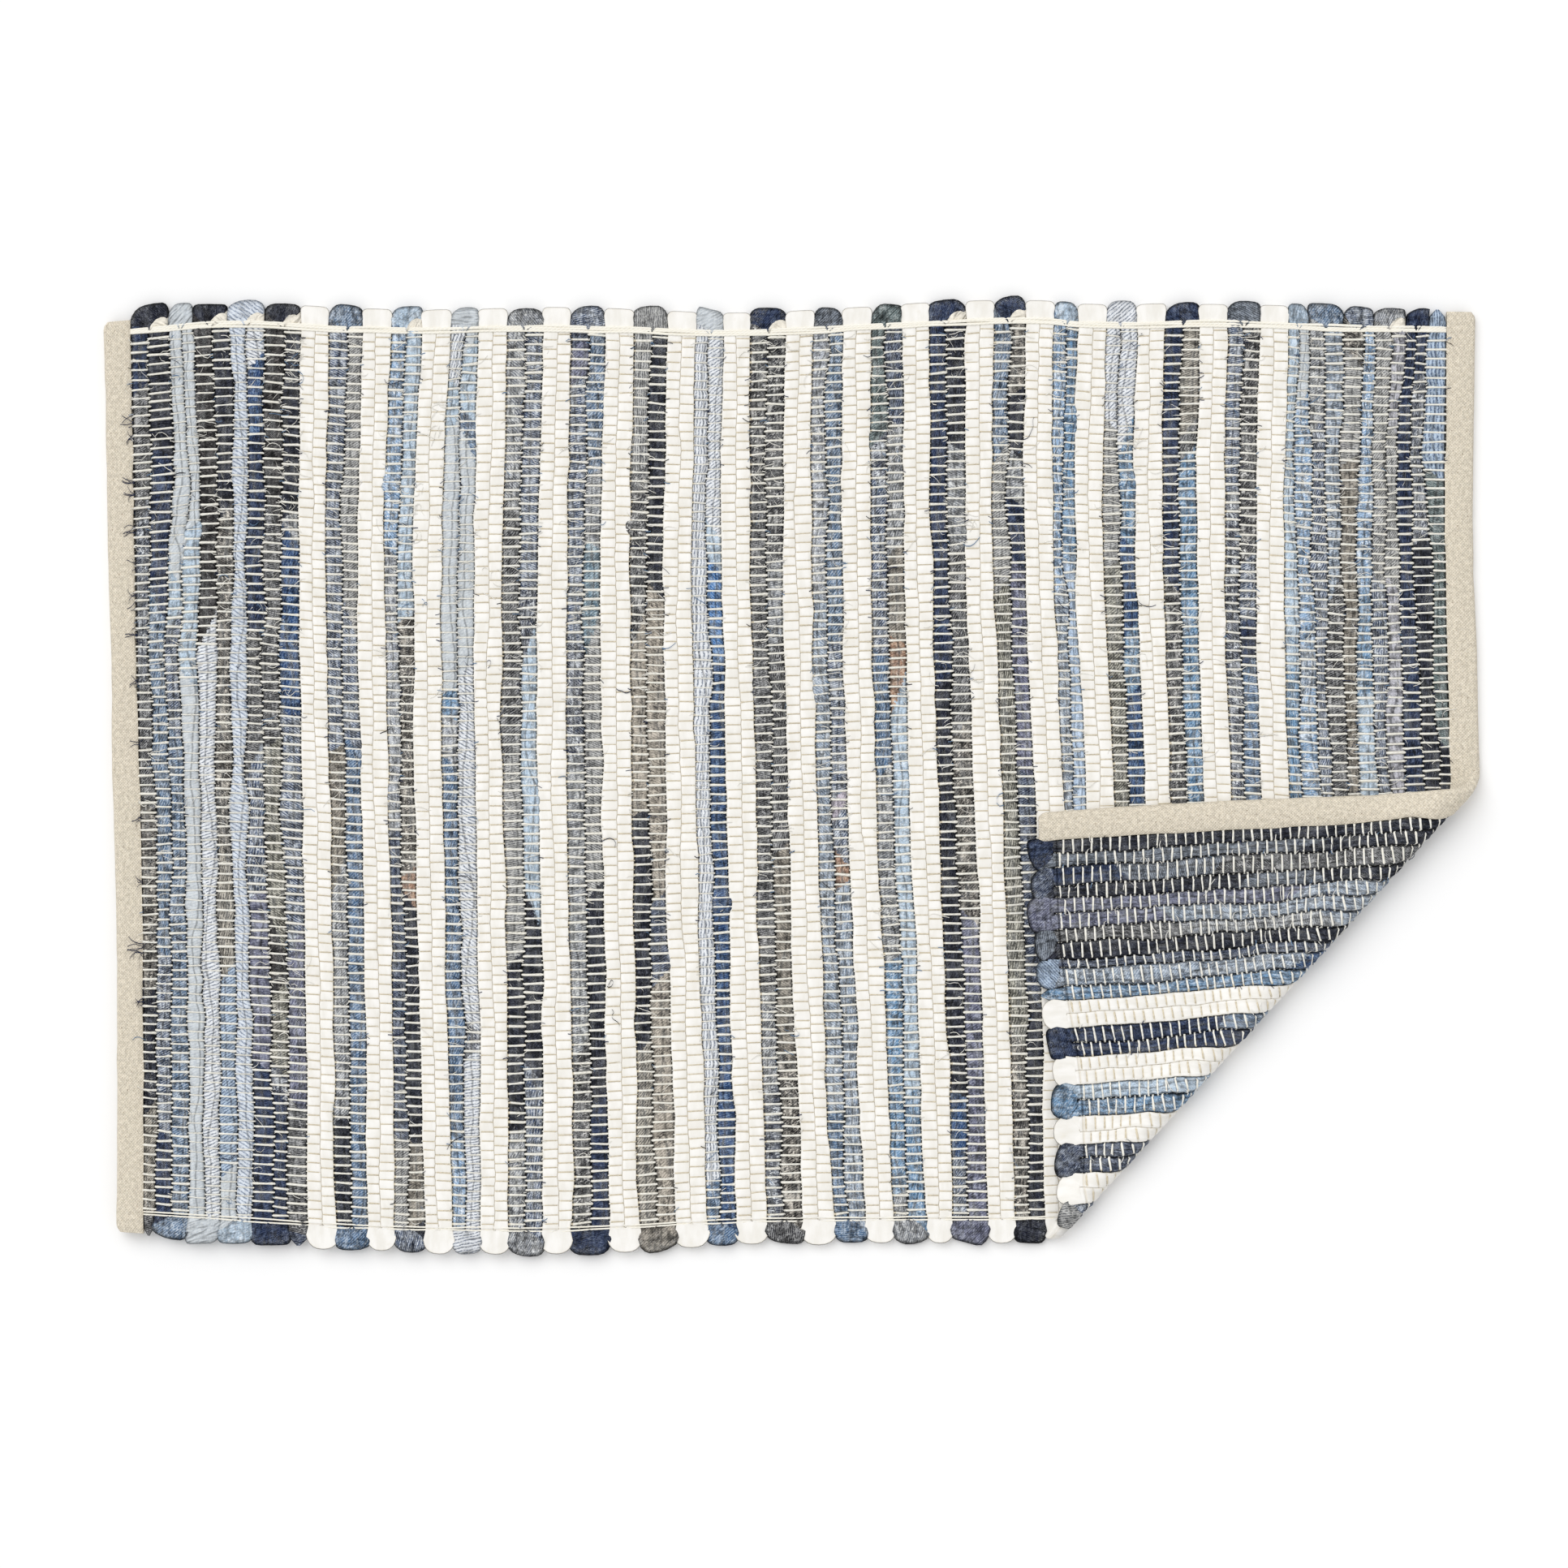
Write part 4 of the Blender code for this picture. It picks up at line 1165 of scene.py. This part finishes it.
def binding_piece(name, node, side, material):
    """A canvas tape folded round one end of the cloth. side is 1 at the right end, -1 at the left."""
    rng = np.random.RandomState(SEED + 5 + side)
    end = SPAN_END + BINDING_OVERHANG
    far_end = end + (RIGHT_BINDING_LONGER if side > 0 else 0)
    near_end = end + (LEFT_BINDING_LONGER if side < 0 else 0)
    rows = np.linspace(-near_end, far_end, BINDING_ROWS)
    stray = wander(rng, BINDING_ROWS, 6, 0.3 * MM) + wander(rng, BINDING_ROWS, 30, 0.4 * MM)
    edge = wander(rng, BINDING_ROWS, 25, 0.35 * MM) + wander(rng, BINDING_ROWS, 5, 0.12 * MM)
    count = len(binding_section(0.0))
    puckers = np.array([wander(rng, BINDING_ROWS, 4, 0.10 * MM) + wander(rng, BINDING_ROWS, 12, 0.16 * MM)
                        for _ in range(count)]).T
    rings = []
    for k, across in enumerate(rows):
        section = binding_section(stray[k])
        to_end = max(1 - min(near_end + across, far_end - across) / BINDING_CORNER, 0.0)
        outward = (section[:, 0] - BINDING_EDGE) / BINDING_WIDTH
        section[:, 0] += (edge[k] - BINDING_CORNER * 0.5 * to_end ** 2) * outward
        section[:, 1] *= 1 - 0.25 * to_end ** 3
        section[:, 1] += puckers[k] * section[:, 2]
        rings.append(np.column_stack((side * section[:, 0], np.full(count, across), section[:, 1])))
    rings = np.array(rings[::side])
    mesh = new_mesh(name, lay(rings.reshape(-1, 3)), tube_quads(BINDING_ROWS, count),
                    end_caps(BINDING_ROWS, count))
    path = rows - rows[0]
    map_tubes(mesh, [path], path[-1], length_round(rings[BINDING_ROWS // 2]))
    piece = add_object(name, mesh, material, node)


# ---------------------------------------------------------------- materials

class Value:
    """The output of a node, for sums in the way of numbers."""

    def __init__(self, nodes, socket):
        self.nodes, self.socket = nodes, socket

    def __add__(self, other):
        return self.nodes.math("ADD", self, other)

    def __sub__(self, other):
        return self.nodes.math("SUBTRACT", self, other)

    def __rsub__(self, other):
        return self.nodes.math("SUBTRACT", other, self)

    def __mul__(self, other):
        return self.nodes.math("MULTIPLY", self, other)

    def __truediv__(self, other):
        return self.nodes.math("DIVIDE", self, other)

    def __pow__(self, other):
        return self.nodes.math("POWER", self, other)

    def __abs__(self):
        return self.nodes.math("ABSOLUTE", self)

    __radd__ = __add__
    __rmul__ = __mul__


class Nodes:
    """Makes and joins the nodes of one material. Lengths on the cloth are in mm."""

    def __init__(self, name):
        self.material = bpy.data.materials.new(name)
        self.material.use_nodes = True
        self.tree = self.material.node_tree
        self.shader = self.tree.nodes["Principled BSDF"]

    def put(self, socket, value):
        if isinstance(value, Value):
            self.tree.links.new(value.socket, socket)
        else:
            socket.default_value = value

    def new(self, kind, inputs, output=0, **settings):
        node = self.tree.nodes.new("ShaderNode" + kind)
        for key, value in settings.items():
            setattr(node, key, value)
        for key, value in inputs.items():
            self.put(node.inputs[key], value)
        return Value(self, node.outputs[output])

    def math(self, operation, a, b=0.0):
        return self.new("Math", {0: a, 1: b}, operation=operation)

    def scaled(self, vector, factor):
        return self.new("VectorMath", {"Vector": vector, "Scale": factor}, operation="SCALE")

    def mix(self, factor, a, b, kind="RGBA"):
        """From a to b, which are colours, or else of kind FLOAT or VECTOR."""
        node = self.tree.nodes.new("ShaderNodeMix")
        node.data_type = kind
        ending = {"FLOAT": "Float", "VECTOR": "Vector", "RGBA": "Color"}[kind]
        sockets = {socket.identifier: socket for socket in node.inputs}
        for name, value in (("Factor_Float", factor), ("A_" + ending, a), ("B_" + ending, b)):
            self.put(sockets[name], value)
        results = {socket.identifier: socket for socket in node.outputs}
        return Value(self, results["Result_" + ending])

    def attribute(self, name, output="Vector"):
        return self.new("Attribute", {}, output, attribute_name=name)

    def split(self, vector):
        first = self.new("SeparateXYZ", {0: vector})
        return [Value(self, output) for output in first.socket.node.outputs]

    def join(self, x, y):
        return self.new("CombineXYZ", {0: x, 1: y, 2: 0.0})

    def turned(self, vector, angle):
        return self.new("VectorRotate", {"Vector": vector, "Angle": angle}, rotation_type="Z_AXIS")

    def noise(self, vector, scale, detail=2.0, roughness=0.5):
        """Noise from about 0.2 to 0.8. scale is in features for each mm, or a pair of them for x and y."""
        if isinstance(scale, tuple):
            vector = self.new("VectorMath", {0: vector, 1: scale + (1.0,)}, operation="MULTIPLY")
            scale = 1.0
        return self.new("TexNoise", {"Vector": vector, "Scale": scale, "Detail": detail,
                                     "Roughness": roughness})

    def ramp(self, value, low, high, to_low=0.0, to_high=1.0):
        """A smooth step of value from low to high."""
        return self.new("MapRange", {0: value, 1: low, 2: high, 3: to_low, 4: to_high},
                        interpolation_type="SMOOTHSTEP")

    def finish(self, colour, height, depth, roughness, sheen=0.0):
        bump = self.new("Bump", {"Height": height, "Distance": depth, "Strength": 1.0})
        for name, value in (("Base Color", colour), ("Roughness", roughness), ("Sheen Weight", sheen),
                            ("Specular IOR Level", CLOTH_GLOSS), ("Normal", bump)):
            self.put(self.shader.inputs[name], value)
        return self.material


def rag_here(g, flat, side, in_loop):
    """The looks of the rag at each place: its ground, its lines and (twill, fleck, angle, pitch).

    Where one rag ends and the next starts, the boundary is torn, and slants across the strand.
    """
    edge, comes_from, _hollow = g.split(g.attribute("change"))
    tear = (g.noise(flat, 0.5, 5.0, 0.7) - 0.5) * (2 - in_loop * 1.7)
    second = g.math("GREATER_THAN", side * comes_from + tear, edge)
    ground, line = (g.mix(second, g.attribute(name + "a", "Color"), g.attribute(name + "b", "Color"))
                    for name in ("ground_", "line_"))
    pitch = g.mix(second, g.attribute("line_a", "Alpha"), g.attribute("line_b", "Alpha"), "FLOAT")
    weave = g.mix(second, g.attribute("weave_a"), g.attribute("weave_b"), "VECTOR")
    return ground, line, (*g.split(weave), pitch)


def twill_and_flecks(g, flat, turned, twill, fleck, pitch):
    """How much of the lines' colour shows: in twill lines, and in flecks of weft."""
    wave = g.math("SINE", g.split(turned)[0] * (2 * math.pi) / pitch + g.noise(flat, 0.12) * 9)
    broken = g.ramp(g.noise(turned, (1.4, 0.7), 1.0), 0.34, 0.52)
    specks = g.ramp(g.noise(turned, (0.90, 0.45), 4.0, 0.8), 0.48, 0.58)
    clumps = g.ramp(g.noise(flat, (0.24, 0.12), 3.0), 0.38, 0.60, 0.1, 1.0)
    return g.math("MAXIMUM", g.ramp(wave, -0.2, 0.8) * broken * twill, specks * clumps * fleck)


def faded(g, flat, turned, plain):
    """How light the rag is against its own colour. Plain pale rags vary little."""
    fade = g.ramp(g.noise(flat, (0.35, 0.10), 4.0, 0.65), 0.30, 0.70, 0.38, 1.74)
    yarns = g.ramp(g.noise(turned, (1.5, 0.75), 2.0), 0.34, 0.66, 0.62, 1.30)
    puffs = g.ramp(g.noise(flat, (0.12, 0.30), 2.0), 0.32, 0.68, 0.56, 1.48)
    light = g.math("MINIMUM", fade * yarns * puffs, 1.5)
    return light ** (1 - plain * 0.82) * (0.94 + plain * 0.07)


def fine_frays(g, flat, side, from_fold, fleck, plain):
    """How much pale fray shows: bent fine threads both ways, most of them at the edges of a strand."""
    bends = g.noise(flat, 0.16, 2.0) * 9 - 4.5
    bent = g.new("VectorMath", {0: g.turned(flat, bends * 0.12), 1: g.join(bends, bends)}, operation="ADD")
    threads = [g.ramp(g.noise(bent, scale, 3.0), 0.59, 0.64) for scale in ((1.4, 0.24), (0.30, 1.5))]
    at_edge = g.math("MAXIMUM", g.ramp(abs(side), 0.35, 0.9, 0.35, 1.0),
                     g.ramp(from_fold, 0.15, 0.45, 1.0, 0.0))
    frayed = g.ramp(g.noise(flat, (0.10, 0.05), 3.0), 0.44, 0.60, 0.10, 1.0)
    of_rag = g.ramp(fleck, 0.3, 0.6, 0.75, 1.0) * (1 - plain * 0.9)
    return g.math("MAXIMUM", *threads) * at_edge * frayed * of_rag


def denim_relief(g, flat, turned, marks, plain, in_loop):
    """The small relief of a rag, and the crumples of a turning loop."""
    height = marks * 0.15 + g.noise(flat, (0.5, 0.16), 3.0) * 1.1 + g.noise(flat, 1.2, 2.0) * 0.5
    crumples = abs(g.noise(turned, (0.26, 0.07), 1.0) * 2 - 1)
    return height * (1 - plain * 0.5) + crumples * in_loop * 6


def worn_denim():
    """Rags of denim: twill lines, pale flecks of weft, faded stretches and frayed edges, with painted shade
    along the lengthwise crease, at a strand's edges and in the hollows under warps.
    """
    g = Nodes("worn_denim")
    round_it, along_it, side = g.split(g.attribute("cloth"))
    hollow = g.split(g.attribute("change"))[2]
    flat = g.join(round_it, along_it)
    in_loop = g.math("LESS_THAN", hollow, IN_LOOP / 2)
    ground, line, (twill, fleck, angle, pitch) = rag_here(g, flat, side, in_loop)
    plain = g.ramp(g.new("RGBToBW", {0: ground}), 0.38, 0.56)
    turned = g.turned(flat, angle)
    marks = twill_and_flecks(g, flat, turned, twill, fleck, pitch)
    worn = g.ramp(g.noise(flat, (0.20, 0.07), 4.0, 0.6), 0.50, 0.68, 0.0, 0.5)
    colour = g.mix(worn * fleck, g.mix(marks, ground, line), line)
    colour = g.scaled(colour, faded(g, flat, turned, plain))

    # The crease where the strip was folded lengthwise, darkened along its line as painted shade
    fold_at = g.noise(g.new("CombineXYZ", {0: along_it * 0.016, 1: 3.7}), 1.0, 2.0) * 3.6 - 1.8
    from_fold = abs(side - fold_at) + in_loop
    colour = g.scaled(colour, g.ramp(from_fold, 0.03, 0.17, plain * 0.12 + 0.42, 1.0))
    colour = g.mix(fine_frays(g, flat, side, from_fold, fleck, plain), colour, linear(FRAYS))
    # Painted shade: darker towards a strand's edges, where it meets the next pick, and in the hollows under
    # the warps; weaker on pale rags
    shade = g.ramp(abs(side), 0.66, 1.0, 1.0, 0.14) * g.ramp(hollow, 0.1, 1.0, 1.0, 0.42)
    colour = g.scaled(colour, shade ** (1 - plain * 0.55))
    return g.finish(colour, denim_relief(g, flat, turned, marks, plain, in_loop), 0.55 * MM, 0.9)


def white_cotton():
    """Soft white cotton rag, with faint creases, a fine weave and stains, and painted shade in the hollows
    under warps and at a pick's edges.
    """
    g = Nodes("white_cotton")
    round_it, along_it, side = g.split(g.attribute("cloth"))
    flat = g.join(round_it, along_it)
    hollow = g.split(g.attribute("change"))[2]
    tone = g.ramp(g.noise(flat, (0.15, 0.05), 3.0), 0.3, 0.7)
    colour = g.mix(tone, linear(COTTON_DARK), linear(COTTON_LIGHT))
    colour = g.mix(g.ramp(g.noise(flat, 0.09, 4.0), 0.64, 0.76, 0.0, 0.35), colour, linear(COTTON_STAIN))
    # Painted shade: darker towards the edges of a pick and in the hollows under the warps
    painted_shade = g.math("MAXIMUM", g.ramp(abs(side), 0.80, 1.0, 0.0, 0.30), g.ramp(hollow, 0.1, 1.0, 0.0, 0.50))
    colour = g.mix(painted_shade, colour, linear(COTTON_SHADE))
    height = g.noise(flat, (2.2, 1.1), 1.0) * 0.12 + g.noise(flat, (0.45, 0.2), 2.0) * 0.6
    return g.finish(colour, height, 0.35 * MM, 0.92, sheen=0.1)


def cotton_warp():
    """Two-ply unbleached cotton cord, with painted shade in the grooves between its plies, and a darker
    colour that is the bundles' own tan and painted shade on warps in white cotton.
    """
    g = Nodes("cotton_warp")
    round_it, along_it, _side = g.split(g.attribute("cloth"))
    perimeter = 2 * math.pi * WARP_DENIM / MM
    twist = round_it * (4 * math.pi / perimeter) + along_it * (2 * math.pi / PLY_PITCH)
    ply = g.ramp(g.math("SINE", twist), -1.0, 1.0)
    flat = g.join(round_it, along_it)
    tone = g.ramp(g.noise(flat, (0.3, 0.06), 3.0), 0.3, 0.7)
    light = g.mix(tone, linear(CORD_DARK), linear(CORD_LIGHT))
    # Painted shade in the grooves between the plies
    colour = g.mix(0.35 - ply * 0.35, light, linear(CORD_GROOVE_SHADE))
    # The bundles' own tan, and painted shade where warps lie in white cotton
    colour = g.mix(g.attribute("tan_and_shade", "Fac"), colour, linear(CORD_TAN_AND_SHADE))
    return g.finish(colour, g.noise(flat, 3.0, 1.0) * 0.3 + ply, 0.15 * MM, 0.9, sheen=0.1)


def ecru_canvas():
    """Unbleached canvas: a small basket weave with slubs and dark seed flecks."""
    g = Nodes("ecru_canvas")
    round_it, along_it, _side = g.split(g.attribute("cloth"))
    flat = g.join(round_it, along_it)
    sway = g.noise(flat, 0.25) * 1.6
    warp, weft = (g.math("SINE", at * (math.pi / CANVAS_PITCH) + sway) for at in (round_it, along_it))
    weave = g.ramp(warp * weft, -0.6, 0.6)
    slubs, crossing = (g.ramp(g.noise(flat, scale, 3.0), 0.3, 0.7) for scale in ((1.6, 0.35), (0.35, 1.6)))
    tone = weave * 0.40 + (slubs + crossing) * 0.30
    colour = g.mix(tone, linear(CANVAS_DARK), linear(CANVAS_LIGHT))
    colour = g.scaled(colour, g.ramp(g.noise(flat, (0.42, 0.36), 3.0, 0.7), 0.36, 0.64, 0.86, 1.12))
    seeds = g.ramp(g.noise(flat, (0.7, 0.5), 1.0), 0.70, 0.76, 0.0, 0.7)
    colour = g.mix(seeds, colour, linear(CANVAS_SEED))
    return g.finish(colour, weave * 0.6 + tone, 0.3 * MM, 0.92, sheen=0.1)


def plain_material(name, colour, gloss):
    """One even matt colour."""
    g = Nodes(name)
    for socket, value in (("Base Color", colour), ("Roughness", 0.9), ("Specular IOR Level", gloss)):
        g.put(g.shader.inputs[socket], value)
    return g.material


# ---------------------------------------------------------------- stage

def add_floor():
    """A floor that reaches past everything the camera sees."""
    mesh = bpy.data.meshes.new("floor")
    corners = ((-1, -1), (1, -1), (1, 1), (-1, 1))
    mesh.from_pydata([(x * FLOOR_REACH, y * FLOOR_REACH, 0) for x, y in corners], [], [(0, 1, 2, 3)])
    mesh.materials.append(plain_material("pale_floor", FLOOR_COLOUR, 0.0))
    floor = bpy.data.objects.new("floor", mesh)
    bpy.context.scene.collection.objects.link(floor)


def add_light():
    """A soft sun from the far left and above, and an even sky."""
    data = bpy.data.lights.new("key", "SUN")
    data.energy, data.angle = KEY_STRENGTH, KEY_SOFTNESS
    light = bpy.data.objects.new("key", data)
    light.rotation_mode = "QUATERNION"
    light.rotation_quaternion = Vector(KEY_TOWARD).to_track_quat("-Z", "Y")
    bpy.context.scene.collection.objects.link(light)
    world = bpy.data.worlds.new("studio")
    world.use_nodes = True
    world.node_tree.nodes["Background"].inputs[0].default_value = (1, 1, 1, 1)
    world.node_tree.nodes["Background"].inputs[1].default_value = SKY_STRENGTH
    bpy.context.scene.world = world
    bpy.context.scene.view_settings.view_transform = "Standard"
    bpy.context.scene.view_settings.look = "None"


def add_camera():
    """The photo's view, from straight above."""
    data = bpy.data.cameras.new("camera")
    data.sensor_width = 36
    data.lens = 36 * CAMERA_HEIGHT / FRAME_WIDTH
    camera = bpy.data.objects.new("camera", data)
    camera.location = (*FRAME_MIDDLE, CAMERA_HEIGHT)
    bpy.context.scene.collection.objects.link(camera)
    bpy.context.scene.camera = camera


# ---------------------------------------------------------------- all together

def main():
    denim, white, warp, canvas = worn_denim(), white_cotton(), cotton_warp(), ecru_canvas()
    borders = (("left_border", 0, LEFT_BORDER_PICKS, LEFT_FAR_LOOPS, LEFT_NEAR_LOOPS),
               ("right_border", PICKS - RIGHT_BORDER_PICKS, PICKS, RIGHT_FAR_LOOPS, RIGHT_NEAR_LOOPS))
    for name, first, end, far, near in borders:
        rag_piece(name, list(range(first, end)), False, far.split(), near.split(), denim)
    for k in range(len(WHITE_DRIFT)):
        pick = LEFT_BORDER_PICKS + 4 * k
        rag_piece("white_stripe_%02d" % (k + 1), [pick, pick + 1], True, ["white"], ["white"], white)
    for k, (far, near) in enumerate(zip(STRIPE_FAR_LOOPS.split(), STRIPE_NEAR_LOOPS.split())):
        pick = LEFT_BORDER_PICKS + 4 * k + 2
        rag_piece("denim_stripe_%02d" % (k + 1), [pick, pick + 1], True, [far], [near], denim)
    warp_piece("warps_near_half", list(range(2, WARPS // 2)), warp)
    warp_piece("warps_far_half", list(range(WARPS // 2, WARPS - 2)), warp)
    bundle_piece("selvedge_cords", warp)
    loose_threads()
    binding_piece("left_binding_canvas", "binding_left", -1, canvas)
    binding_piece("right_binding_canvas", "binding_right", 1, canvas)
    add_floor()
    add_light()
    add_camera()


main()
